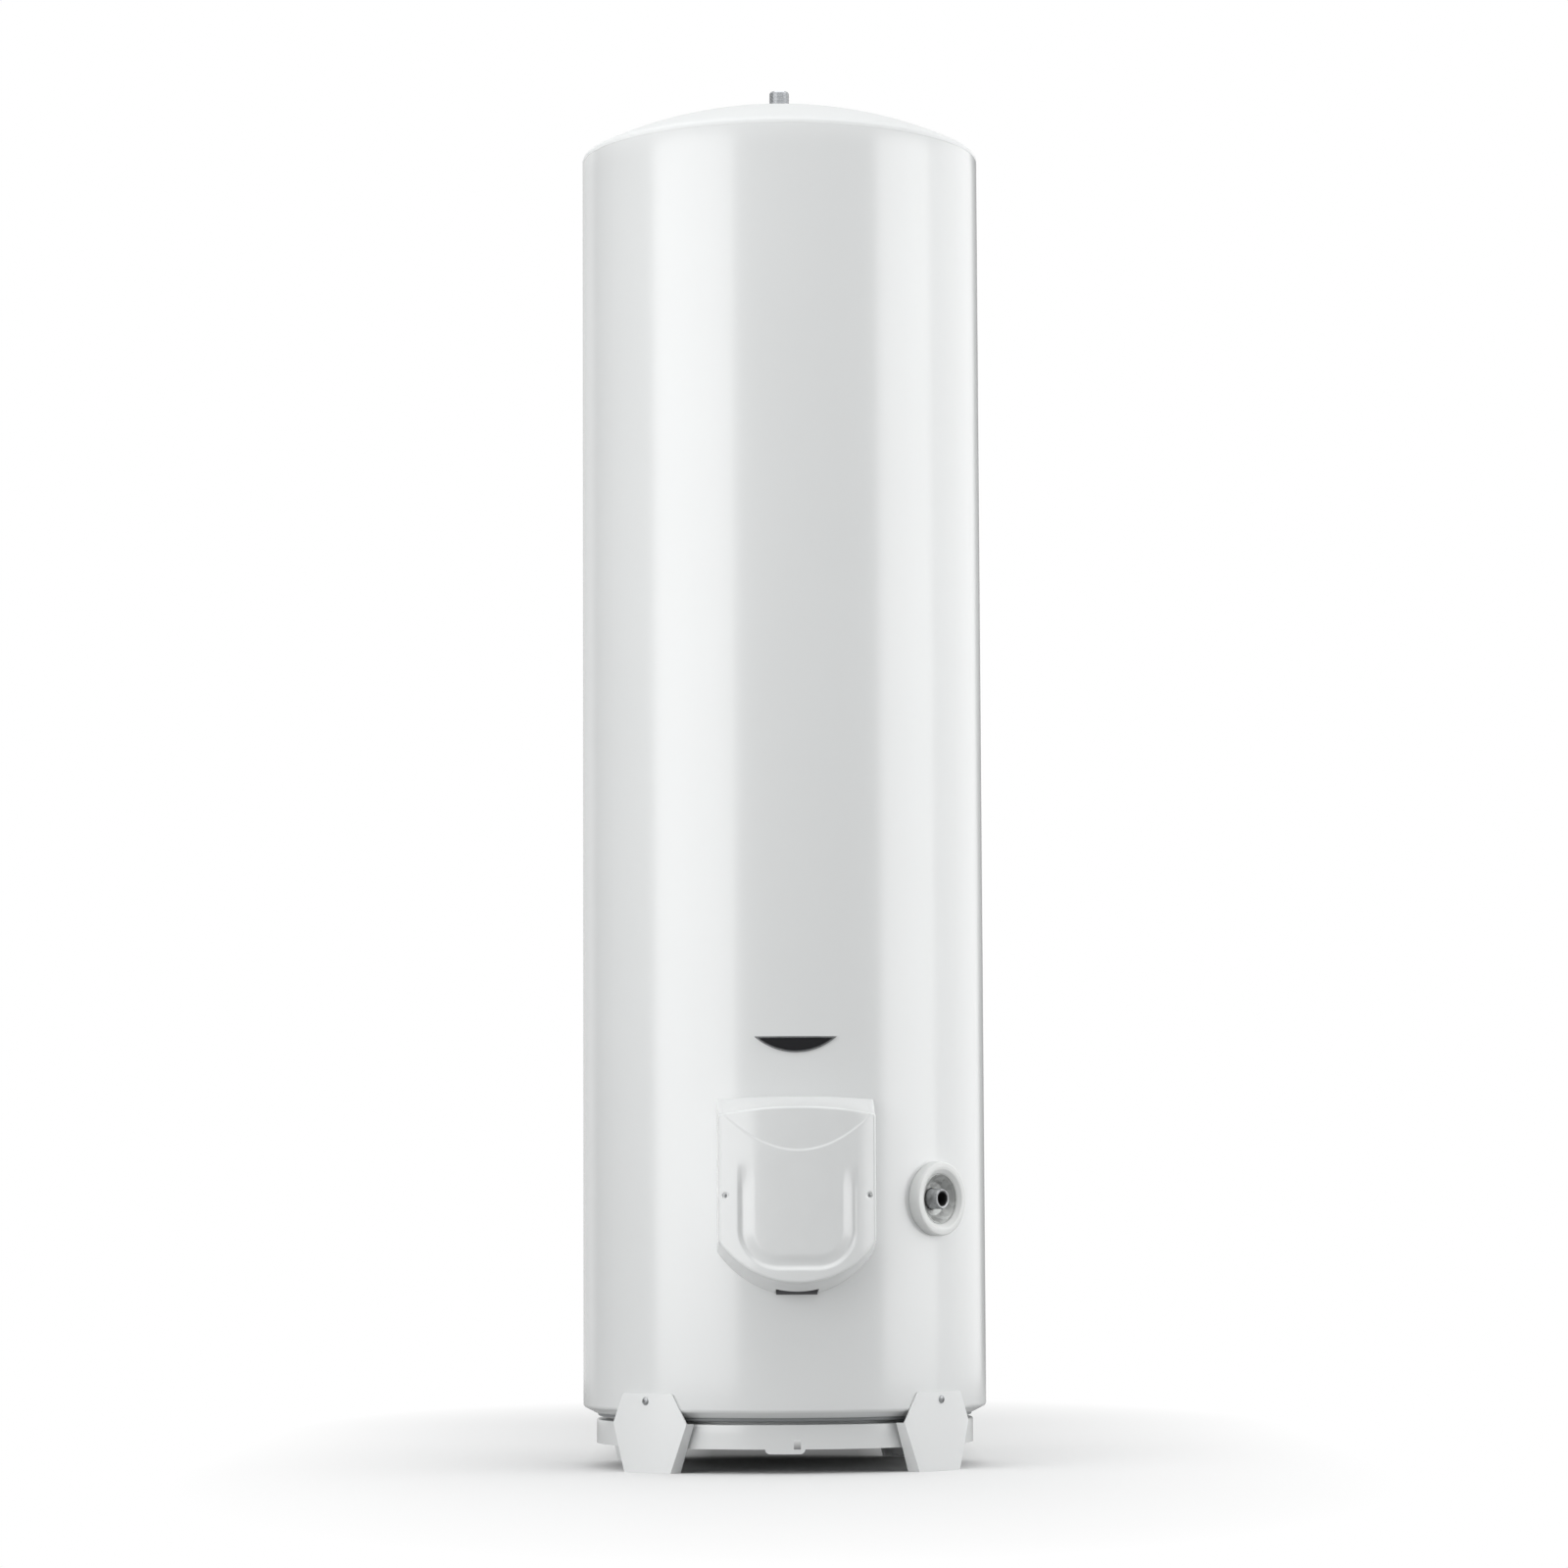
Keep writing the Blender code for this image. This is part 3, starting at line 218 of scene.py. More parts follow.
# Dark grey for the sheet in the hood's cable notch: painted shade for the shaded slot.
NOTCH_SHADE_GREY = moulded("notch_painted_shade", (0.11, 0.11, 0.115), 0.75, 600.0, 0.2)
VITREOUS = moulded("vitreous_blue", (0.05, 0.09, 0.16), 0.2, 300.0, 0.15, 0.5)
FOAM = foam_material()
WIRES = {
    "brown": moulded("wire_brown", (0.22, 0.09, 0.04), 0.42),
    "blue": moulded("wire_blue", (0.03, 0.12, 0.46), 0.42),
    "green": moulded("wire_green", (0.08, 0.38, 0.09), 0.42),
}


# ---------------------------------------------------------------- mesh helpers
def to_object(name, mesh, mat, sharp=38.0):
    """Links a mesh as a smooth-shaded object with sharp corners."""
    obj = bpy.data.objects.new(name, mesh)
    bpy.context.scene.collection.objects.link(obj)
    mesh.materials.append(mat)
    mesh.shade_smooth()
    mesh.set_sharp_from_angle(angle=math.radians(sharp))
    return obj


def from_bmesh(name, work, mat, sharp=38.0):
    """Turns a finished bmesh into an object."""
    mesh = bpy.data.meshes.new(name)
    work.to_mesh(mesh)
    work.free()
    return to_object(name, mesh, mat, sharp)


def piece(obj, body, slot, *nodes):
    """Rides on a body and stands for CAD nodes, which it hides; the slot is not used."""
    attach(obj, body)
    if nodes:
        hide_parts(*nodes)
    return obj


def rounded(points, radius, steps=5, closed=False):
    """The line with its corners turned into arcs."""
    result = []
    count = len(points)
    for i, point in enumerate(points):
        if not closed and i in (0, count - 1):
            result.append(tuple(point))
            continue
        corner = Vector(point)
        before = Vector(points[i - 1]) - corner
        after = Vector(points[(i + 1) % count]) - corner
        reach = 0.48 * min(before.length, after.length)
        before.normalize()
        after.normalize()
        angle = before.angle(after)
        if angle > math.pi - 0.04:
            result.append(tuple(point))
            continue
        cut = min(radius / math.tan(angle / 2), reach)
        size = cut * math.tan(angle / 2)
        centre = corner + (before + after).normalized() * (size / math.sin(angle / 2))
        start = (corner + before * cut - centre).normalized()
        end = (corner + after * cut - centre).normalized()
        for k in range(steps + 1):
            result.append(tuple(centre + start.slerp(end, k / steps) * size))
    return result


def lathe(name, profile, mat, matrix=None, segments=96, closed=False, sharp=38.0):
    """Turns (radius, height) points about Z; a closed profile gives a ring.

    The profile runs down its outer side, so that the faces point out.
    """
    work = bmesh.new()
    rows = [circle(work, radius, height, segments) for radius, height in profile]
    pairs = list(zip(rows, rows[1:]))
    if closed:
        pairs.append((rows[-1], rows[0]))
    for upper, lower in pairs:
        for i in range(segments):
            j = (i + 1) % segments
            left = (upper[i % len(upper)], lower[i % len(lower)])
            right = (lower[j % len(lower)], upper[j % len(upper)])
            corners = list(dict.fromkeys(left + right))
            if len(corners) > 2:
                work.faces.new(corners)
    obj = from_bmesh(name, work, mat, sharp)
    if matrix is not None:
        obj.data.transform(matrix)
    return obj


def upright():
    """Places a turned piece on the tank's axis."""
    return Matrix.Translation((0.0, AXIS_Y, 0.0))


def outward(azimuth, height, x=0.0, depth=0.0):
    """Turns local Z outwards at an azimuth; local Y is up and local X sideways."""
    turn = Matrix.Rotation(math.radians(azimuth), 4, "Z") @ Matrix.Rotation(math.pi / 2, 4, "X")
    return Matrix.Translation((0.0, AXIS_Y, height)) @ turn @ Matrix.Translation((x, 0.0, depth))


def circle(work, radius, height, segments):
    """New vertices round local Z, or a single one on it."""
    if radius < 1e-7:
        return [work.verts.new((0.0, 0.0, height))]
    turns = [2 * math.pi * i / segments for i in range(segments)]
    return [work.verts.new((radius * math.cos(a), radius * math.sin(a), height)) for a in turns]


def on_drum(work, radius, angle, height):
    """A new vertex at an angle round the tank's axis, nil at the front."""
    return work.verts.new((radius * math.sin(angle), AXIS_Y - radius * math.cos(angle), height))


def join_grid(work, grid):
    """Faces over a grid of vertices."""
    for row, after in zip(grid, grid[1:]):
        for i in range(len(row) - 1):
            work.faces.new((row[i], after[i], after[i + 1], row[i + 1]))


def join_rings(work, first, second):
    """Faces between two closed loops of vertices."""
    for i in range(len(first)):
        k = (i + 1) % len(first)
        work.faces.new((first[i], first[k], second[k], second[i]))


def join_rows(work, rows, is_open):
    """Faces between rows that run round the axis, but none where is_open(row, column, next)."""
    count = len(rows[0])
    for j in range(len(rows) - 1):
        for i in range(count):
            k = (i + 1) % count
            if not is_open(j, i, k):
                work.faces.new((rows[j][i], rows[j + 1][i], rows[j + 1][k], rows[j][k]))
    bmesh.ops.delete(work, geom=[v for v in work.verts if not v.link_faces], context="VERTS")


def spaced(values, gap):
    """The values in order, without those closer than a gap to the one before."""
    kept = []
    for value in sorted(values):
        if not kept or value - kept[-1] > gap:
            kept.append(value)
    return kept


def centre_of(name):
    """The middle of a CAD node's box."""
    low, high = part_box(name)
    return (low + high) / 2


def thicken(obj, thickness):
    """Gives a sheet its wall; its open edges are cut square, so they stay crisp."""
    mesh = obj.data
    uses = [0] * len(mesh.edges)
    for corner in mesh.loops:
        uses[corner.edge_index] += 1
    for edge in mesh.edges:
        if uses[edge.index] == 1:
            edge.use_edge_sharp = True
    wall = obj.modifiers.new("Wall", "SOLIDIFY")
    wall.thickness = thickness
    wall.offset = -1.0
    wall.use_even_offset = True


def even_normals(obj):
    """Lets the large faces set the shading, so that narrow bends don't pull on it."""
    shade = obj.modifiers.new("Shade", "WEIGHTED_NORMAL")
    shade.mode = "FACE_AREA"
    shade.weight = 50
    shade.keep_sharp = True


def bevel(obj, width, segments=3, angle=35.0):
    """Rounds the edges that are sharper than an angle."""
    edge = obj.modifiers.new("Edge", "BEVEL")
    edge.width = width
    edge.segments = segments
    edge.limit_method = "ANGLE"
    edge.angle_limit = math.radians(angle)
    edge.harden_normals = True


def carve(obj, cutter):
    """Cuts an object with another, keeps the result and removes the cutter."""
    cut = obj.modifiers.new("Cut", "BOOLEAN")
    cut.operation = "DIFFERENCE"
    cut.solver = "EXACT"
    cut.object = cutter
    bpy.context.view_layer.update()
    graph = bpy.context.evaluated_depsgraph_get()
    mesh = bpy.data.meshes.new_from_object(obj.evaluated_get(graph))
    obj.modifiers.clear()
    obj.data = mesh
    mesh.shade_smooth()
    mesh.set_sharp_from_angle(angle=math.radians(38))
    bpy.data.objects.remove(cutter)


def box_cutter(size, centre, matrix):
    """A box to cut with, placed by a matrix."""
    work = bmesh.new()
    bmesh.ops.create_cube(work, size=1.0)
    bmesh.ops.scale(work, verts=work.verts, vec=size)
    bmesh.ops.translate(work, verts=work.verts, vec=centre)
    work.transform(matrix)
    return from_bmesh("cutter", work, STEEL)


def smoothstep(value):
    """Eases from nought to one."""
    value = min(max(value, 0.0), 1.0)
    return value * value * (3 - 2 * value)


# ------------------------------------------------------------------ the jacket
JOINT_Z = JACKET_HIGH.z
SEAM_HALF = 0.011
SEAM_DEPTH = 0.0005
WALL = 0.0008
JOGGLE_IN = 0.0016
HEM_RADIUS = 0.2495
HEM_TOP = 0.0785
HEM_ROUND = 0.0055
FRAME_LAP = 0.002
INLET_HOLE = 0.0300
SEAM_SIDE = 0.25
SEAM_LOW = 0.10
SEAM_FADE = 0.02
FIRST_RIVET = 0.16
RIVET_SPACING = 0.115


def jacket_profile():
    """(radius, height) down the outside, with the joggle on top and the rolled hem."""
    top = [(RADIUS - JOGGLE_IN, JOINT_Z), (RADIUS - JOGGLE_IN, JOINT_Z - 0.0022)]
    top += [(RADIUS, JOINT_Z - 0.0040), (RADIUS, JOINT_Z - 0.030)]
    hem = [(RADIUS, 0.120), (RADIUS, HEM_TOP), (HEM_RADIUS, JACKET_LOW.z)]
    return rounded(top, 0.0008, 2), rounded(hem, HEM_ROUND, 8)


def jacket_holes():
    """(start angle, end angle, low, high) of the openings for the compartment and the inlet."""
    low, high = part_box("compartment_frame")
    edge = math.asin(((high.x - low.x) / 2 - FRAME_LAP) / RADIUS)
    middle = math.radians(INLET_AZIMUTH)
    reach = math.asin(INLET_HOLE / RADIUS)
    height = centre_of("inlet_collar").z
    return [
        (-edge, edge, low.z + FRAME_LAP, high.z - FRAME_LAP),
        (middle - reach, middle + reach, height - INLET_HOLE, height + INLET_HOLE),
    ]


def jacket():
    """The sheet with its openings and the lapped seam at the back."""
    holes = jacket_holes()
    seam = SEAM_HALF / RADIUS
    angles = [2 * math.pi * i / 256 - math.pi for i in range(256)]
    heights = [0.12 + 0.08 * i for i in range(1, 20)]
    for start, end, low, high in holes:
        angles += [start, end]
        heights += [low, high]
    for share in (1 - SEAM_SIDE, 1.0):
        angles += [math.pi - share * seam, share * seam - math.pi]
    angles = spaced(angles, 0.0008)
    top, hem = jacket_profile()
    middle = [(RADIUS, z) for z in sorted(heights, reverse=True) if hem[0][1] < z < top[-1][1]]
    profile = top + middle + hem
    work = bmesh.new()
    rows = []
    for radius, height in profile:
        fade = smoothstep((height - SEAM_LOW) / SEAM_FADE)
        fade *= smoothstep((JOINT_Z - 0.006 - height) / SEAM_FADE)
        row = []
        for angle in angles:
            behind = abs(abs(angle) - math.pi)
            sunk = SEAM_DEPTH * smoothstep((1.0 - behind / seam) / SEAM_SIDE)
            row.append(on_drum(work, radius - sunk * fade, angle, height))
        rows.append(row)

    def in_hole(j, i, k):
        angle = (angles[i] + angles[k]) / 2 if k else math.pi
        height = (profile[j][1] + profile[j + 1][1]) / 2
        return any(a < angle < b and low < height < high for a, b, low, high in holes)

    join_rows(work, rows, in_hole)
    sheet = from_bmesh("jacket_sheet", work, PAINT, 30.0)
    thicken(sheet, WALL)
    piece(sheet, "heater", "enamel", "outer_jacket")
    seam_rivets()


def seam_rivets():
    """Small flat rivets down the lapped seam at the back."""
    count = int((JOINT_Z - 0.26) / RIVET_SPACING) + 1
    base = RADIUS - SEAM_DEPTH
    line = [(0.0, base + 0.0004), (0.0014, base + 0.0003), (0.0024, base)]
    line += [(0.0027, base - 0.0003), (0.0, base - 0.0003)]
    for i in range(count):
        place_at = outward(180, FIRST_RIVET + RIVET_SPACING * i)
        head = lathe(f"seam_rivet_{i + 1}", line, PAINT, place_at, 16)
        piece(head, "heater", "enamel")


COVER_RISE = 0.062
COVER_EDGE = (0.261, 1.744)
COVER_HOLE = 0.0167
COVER_WALL = 0.0010
SHOULDER_ROUND = 0.0060


def cover():
    """The shallow dome with its crisp rim and a turned-in hole for the outlet."""
    edge_radius, edge_z = COVER_EDGE
    sphere = (edge_radius**2 + COVER_RISE**2) / (2 * COVER_RISE)
    middle = edge_z + COVER_RISE - sphere
    line = []
    steps = 36
    for i in range(steps):
        radius = COVER_HOLE + (edge_radius - COVER_HOLE) * (i / steps) ** 0.85
        line.append((radius, middle + math.sqrt(sphere**2 - radius**2)))
    shoulder = [COVER_EDGE, (RADIUS, edge_z - 0.0038), (RADIUS, JOINT_Z - 0.0036)]
    line += rounded([line[-1]] + shoulder, SHOULDER_ROUND, 8)[1:]
    dome = lathe("dome_cover", line, COVER_PAINT, upright(), 256, sharp=30.0)
    thicken(dome, COVER_WALL)
    piece(dome, "heater", "enamel", "top_cover")


BASE_WALL = 0.0015
PAN_RADIUS = 0.2460
PAN_STEP = (0.0800, 0.0724)


def underside():
    """The pressed pan under the jacket; its dark grey colour is painted shade for the shadow under the
    jacket's overhang.
    """
    rim = RADIUS - WALL - 2 * GAP
    line = [(rim, PAN_HIGH.z), (rim, PAN_STEP[0]), (PAN_RADIUS, PAN_STEP[1])]
    line += [(PAN_RADIUS, PAN_LOW.z), (0.0, PAN_LOW.z)]
    pan = lathe("pan_sheet", rounded(line, 0.0025, 5), PAN_SHADE_PAINT, upright(), 192, sharp=30.0)
    thicken(pan, BASE_WALL)
    piece(pan, "heater", "enamel", "bottom_pan")


RING_TOP = 0.0622
RING_CUT = 0.0310
RING_INSIDE = (0.2150, 0.2300)
TAB = (-0.040, 0.011)
TAB_ROUND = 0.007
NOTCH = (-0.0035, 0.0055)
NOTCH_TOP = 0.0430


def base_ring():
    """A channel ring with rounded shoulders; the tab and the notch are cut at its edge."""
    outer = (RING_HIGH.x - RING_LOW.x) / 2
    angles = [2 * math.pi * i / 224 - math.pi for i in range(224)]
    angles += [math.asin(x / outer) for x in TAB + NOTCH]
    for edge, sign in ((TAB[0], 1), (TAB[1], -1)):
        angles += [math.asin((edge + sign * TAB_ROUND * f) / outer) for f in (0.12, 0.35, 0.65)]
    angles = spaced(angles, 0.0006)
    flange, channel = RING_INSIDE
    top = [(flange, RING_HIGH.z), (channel, RING_HIGH.z), (channel, RING_TOP), (outer, RING_TOP)]
    profile = rounded(top + [(outer, 0.050)], 0.0022, 5)
    profile += [(outer, NOTCH_TOP), (outer, RING_CUT), (outer, RING_LOW.z)]
    last = len(profile) - 2
    work = bmesh.new()
    rows = [[on_drum(work, radius, angle, height) for angle in angles] for radius, height in profile]
    for vert, angle in zip(rows[-1], angles):
        x = outer * math.sin(angle)
        inside = min(x - TAB[0], TAB[1] - x) / TAB_ROUND if abs(angle) < 1 else 0.0
        inside = min(max(inside, 0.0), 1.0)
        vert.co.z = RING_CUT - (RING_CUT - RING_LOW.z) * math.sqrt(1 - (1 - inside) ** 2)

    def cut_away(j, i, k):
        middle = outer * math.sin((angles[i] + angles[k]) / 2) if k else 1.0
        front = abs(angles[i]) < 1
        in_tab = front and TAB[0] < middle < TAB[1]
        in_notch = front and NOTCH[0] < middle < NOTCH[1]
        return (j == last and not in_tab) or (j == last - 1 and in_notch)

    join_rows(work, rows, cut_away)
    bmesh.ops.remove_doubles(work, verts=work.verts, dist=0.00002)
    ring = from_bmesh("plinth_ring", work, PAINT, 30.0)
    thicken(ring, BASE_WALL)
    piece(ring, "heater", "enamel", "base_ring")


# -------------------------------------------------------------------- the legs
LEG_FACE = 0.2681
LEG_WALL = 0.0025
LEG_TOP = 0.0425
LEG_WIDE = 0.0645
LEG_FOOT = 0.0405
LEG_TOP_Z = 0.101
LEG_WIDE_Z = 0.0625
LEG_LIP = 0.022
LEG_BEND = 0.0045


def leg_outline():
    """The leg's corners in front view, with the upper ones softly cut."""
    lower = [(-LEG_FOOT, 0.0), (LEG_FOOT, 0.0), (LEG_WIDE, LEG_WIDE_Z)]
    upper = [(LEG_TOP, LEG_TOP_Z), (-LEG_TOP, LEG_TOP_Z), (-LEG_WIDE, LEG_WIDE_Z)]
    corners = lower + upper
    radii = (0.0, 0.0, 0.0008, 0.0060, 0.0060, 0.0008)
    outline = []
    for i, corner in enumerate(corners):
        if radii[i] == 0.0:
            outline.append(corner)
            continue
        near = (corners[i - 1], corner, corners[(i + 1) % 6])
        outline += [tuple(p) for p in rounded(near, radii[i], 4)[1:-1]]
    return outline


def flanged_part(outline):
    """The outline's points from its left corner down, round the foot and up to its right corner."""
    left = outline.index(min(outline, key=lambda point: point[0]))
    right = outline.index(max(outline, key=lambda point: point[0]))
    line = outline[left:] + outline[: right + 1]
    return [point for point in line if point[1] <= LEG_WIDE_Z]


def lies_on(edge, line):
    """Whether an edge's middle lies on a line of points."""
    middle = (edge.verts[0].co + edge.verts[1].co) / 2
    for first, second in zip(line, line[1:]):
        start, end = Vector(first), Vector(second)
        along = (end - start).normalized()
        away = Vector(middle.xy) - start
        across = abs(along.x * away.y - along.y * away.x)
        if across < 0.00005 and -0.0001 < away.dot(along) < (end - start).length + 0.0001:
            return True
    return False


def leg(side, azimuth):
    """A pressed face that follows the jacket, flanged round its lower half with soft bends."""
    work = bmesh.new()
    outline = leg_outline()
    work.faces.new([work.verts.new((x, z, 0.0)) for x, z in outline])
    for k in range(34):
        cut = (-0.066 + 0.004 * k, 0.0, 0.0)
        geom = list(work.verts) + list(work.edges) + list(work.faces)
        bmesh.ops.bisect_plane(work, geom=geom, plane_co=cut, plane_no=(1.0, 0.0, 0.0))
    flanged = flanged_part(outline)
    edges = [e for e in work.edges if e.is_boundary and lies_on(e, flanged)]
    pulled = bmesh.ops.extrude_edge_only(work, edges=edges)["geom"]
    for vert in pulled:
        if isinstance(vert, bmesh.types.BMVert):
            vert.co.z = 1.0
    bends = [e for e in edges if e.is_valid and len(e.link_faces) == 2]
    for vert in work.verts:
        x, z, behind = vert.co
        angle = x / LEG_FACE
        depth = LEG_FACE - LEG_LIP if behind > 0.5 else LEG_FACE * math.cos(angle)
        vert.co = (LEG_FACE * math.sin(angle), z, depth)
    bmesh.ops.recalc_face_normals(work, faces=work.faces)
    bmesh.ops.bevel(
        work, geom=bends, offset=LEG_BEND, segments=5, affect="EDGES", profile=0.5, clamp_overlap=True
    )
    bmesh.ops.recalc_face_normals(work, faces=work.faces)
    outward_face = max(work.faces, key=lambda f: f.calc_center_median().z)
    if outward_face.normal.z < 0:
        bmesh.ops.reverse_faces(work, faces=work.faces)
    work.transform(outward(azimuth, 0.0))
    plate = from_bmesh(f"bent_leg_{side}", work, LEG_PAINT, 30.0)
    thicken(plate, LEG_WALL)
    even_normals(plate)
    piece(plate, "heater", "enamel", f"leg_{side}")


def cross_head(name, head, shank, length, mat, matrix, turn=0.3):
    """A pan-head screw with a cross recess, its seat at local Z zero."""
    rise = head * 0.52
    profile = [(0.0, rise)]
    for i in range(1, 9):
        angle = math.pi / 2 * i / 8
        profile.append((head * math.sin(angle) ** 0.8, rise * math.cos(angle)))
    profile += [(head, 0.0), (shank, 0.0), (shank, -length), (0.0, -length)]
    screw = lathe(name, profile, mat, None, 32)
    width, reach, depth = head * 0.22, head * 1.15, rise * 1.1
    spin = Matrix.Rotation(turn, 4, "Z")
    for k in range(2):
        size = (reach, width, depth) if k else (width, reach, depth)
        carve(screw, box_cutter(size, (0.0, 0.0, rise), spin))
    screw.data.transform(matrix)
    return screw


def legs():
    """Four legs, each with its screw."""
    for i, (side, azimuth) in enumerate(LEG_AZIMUTHS.items()):
        leg(side, azimuth)
        seat = outward(azimuth, centre_of(f"leg_screw_{side}").z, 0.0, LEG_FACE + 0.0001)
        screw = cross_head(f"leg_bolt_{side}", 0.0052, 0.0021, 0.0095, ZINC, seat, 0.4 + 1.1 * i)
        piece(screw, "heater", "steel", f"leg_screw_{side}")


# ------------------------------------------------------------------- the pipes
PIPE = 0.0132
BORE = 0.0095
PITCH = 0.001814
THREAD_DEPTH = 0.00055
TIP = 0.0022
OUTLET_THREAD = 0.020
BUSHING_FLANGE = 0.0032
BUSHING_RADIUS = 0.0162
COLLAR_FACE = 0.2773
COLLAR_RADIUS = 0.0475
COLLAR_BORE = 0.0325
NIPPLE_START = 0.2180
NIPPLE_THREAD = 0.2610


def threaded_pipe(name, start, end, thread_start, mat, matrix, segments=64):
    """A tube along local Z from start to end, threaded from thread_start outwards."""
    work = bmesh.new()
    heights = [start, thread_start - 0.0008]
    step = PITCH / 7
    count = int((end - 0.0012 - thread_start) / step)
    heights += [thread_start + step * i for i in range(count + 1)]
    rows = []
    for height in heights:
        row = []
        for i in range(segments):
            turn = i / segments
            phase = (height / PITCH - turn) % 1.0
            tooth = smoothstep((abs(2 * phase - 1) - 0.12) / 0.76)
            ease = smoothstep((height - thread_start) / PITCH) * smoothstep((end - height) / TIP)
            radius = PIPE - THREAD_DEPTH * ease * tooth
            radius -= 0.0006 * smoothstep((height - end + TIP) / 0.0012)
            angle = 2 * math.pi * turn
            row.append(work.verts.new((radius * math.cos(angle), radius * math.sin(angle), height)))
        rows.append(row)
    inside = ((PIPE - 0.0012, end), (BORE + 0.0008, end), (BORE, end - 0.0008), (BORE, start))
    rows += [circle(work, radius, height, segments) for radius, height in inside]
    for j, row in enumerate(rows):
        join_rings(work, row, rows[(j + 1) % len(rows)])
    pipe = from_bmesh(name, work, mat, 50.0)
    pipe.data.transform(matrix)
    return pipe


def outlet():
    """The threaded stub on the dome, with its escutcheon."""
    start, end = PIPE_LOW.z, PIPE_HIGH.z
    pipe = threaded_pipe("outlet_stub", start, end, end - OUTLET_THREAD, CHROME, upright())
    piece(pipe, "heater", "chrome", "hot_outlet_pipe")
    low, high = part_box("outlet_bushing")
    flange, bore = high.z - BUSHING_FLANGE + GAP, PIPE + GAP
    section = [(bore, high.z), (0.0188, high.z), (0.0192, flange)]
    section += [(BUSHING_RADIUS, flange), (BUSHING_RADIUS, low.z), (bore, low.z)]
    line = rounded(section, 0.0009, 4, True)
    ring = lathe("outlet_escutcheon", line, COLLAR_PLASTIC, upright(), 64, True)
    piece(ring, "heater", "white_plastic", "outlet_bushing")


def inlet_collar(place_at):
    """A flat white ring, its back cut to the jacket."""
    seat = RADIUS - 0.006
    section = [
        (COLLAR_BORE, COLLAR_FACE - 0.0046),
        (COLLAR_BORE + 0.0055, COLLAR_FACE - 0.0004),
        (COLLAR_BORE + 0.0085, COLLAR_FACE),
        (COLLAR_RADIUS - 0.0012, COLLAR_FACE - 0.0004),
        (COLLAR_RADIUS, COLLAR_FACE - 0.0030),
        (COLLAR_RADIUS, seat),
        (COLLAR_BORE, seat),
    ]
    line = rounded(section, 0.0022, 6, True)
    collar = lathe("inlet_ring", line, COLLAR_PLASTIC, None, 128, True)
    tank = RADIUS + GAP
    drum = lathe("cutter", [(0.0, 0.2), (tank, 0.2), (tank, -0.2), (0.0, -0.2)], STEEL, None, 256)
    drum.data.transform(Matrix.Rotation(math.pi / 2, 4, "X"))
    carve(collar, drum)
    collar.data.transform(place_at)
    piece(collar, "heater", "white_plastic", "inlet_collar")


def inlet():
    """White collar, galvanised bowl and threaded nipple, set in the side."""
    place_at = outward(INLET_AZIMUTH, centre_of("inlet_collar").z)
    inlet_collar(place_at)
    line = [(COLLAR_BORE - GAP, 0.2724), (COLLAR_BORE - GAP, 0.2710), (0.0300, 0.2690)]
    line += [(0.0220, 0.2600), (PIPE + 0.0012, 0.2575)]
    bowl = lathe("inlet_dish", rounded(line, 0.004, 6), BOWL_ZINC, place_at, 96, sharp=30.0)
    thicken(bowl, 0.0009)
    piece(bowl, "heater", "zinc", "inlet_bowl")
    end = COLLAR_FACE - 0.0003
    nipple = threaded_pipe("inlet_stub", NIPPLE_START, end, NIPPLE_THREAD, ZINC, place_at)
    piece(nipple, "heater", "zinc", "cold_inlet_nipple")
    inside, outside = BORE - 0.0011, BORE - 0.0003
    low, high = NIPPLE_START + 0.002, COLLAR_FACE - 0.0009
    liner = [(inside, high), (inside, low), (outside, low), (outside, high)]
    sleeve = lathe("inlet_liner", liner, RUBBER, place_at, 48, True)
    piece(sleeve, "heater", "rubber")


# -------------------------------------------------------------------- the hood
HOOD_HALF = (HOOD_HIGH.x - HOOD_LOW.x) / 2
HOOD_FRONT = AXIS_Y - HOOD_LOW.y
BOW_RADIUS = 0.193
BOW_CENTRE = HOOD_FRONT - BOW_RADIUS
EDGE_ROUND = 0.0032
TOP_EDGE = 0.4640
TOP_EDGE_CORNER = 0.4550
LOW_EDGE = 0.2414
LOW_EDGE_CORNER = 0.2920
REAR_TOP = 0.4772
REAR_DROP = 0.0037
LOW_SLOPE = 0.354
GROOVE_HALF = 0.0700
GROOVE_LOW = 0.2640
GROOVE_CORNER = 0.0460
GROOVE_INNER = 0.0150
GROOVE_OUTER = 0.0075
GROOVE_DEPTH = 0.0040
GROOVE_TOP = 0.4010
GROOVE_FADE = 0.0450
SMILE_LOW = 0.4086
SMILE_CURVE = 5.17
SMILE_WIDTH = 0.0026
PLATE_SINK = 0.0014
HOOD_SCREW = (0.091, 0.3515)
DIMPLE_DEPTH = 0.0014
DIMPLE_FLAT = 0.0030
DIMPLE_SIDE = 0.0016
HOOD_WALL = 0.0022
NOTCH_HALF = 0.027
NOTCH_SHARE = 0.30


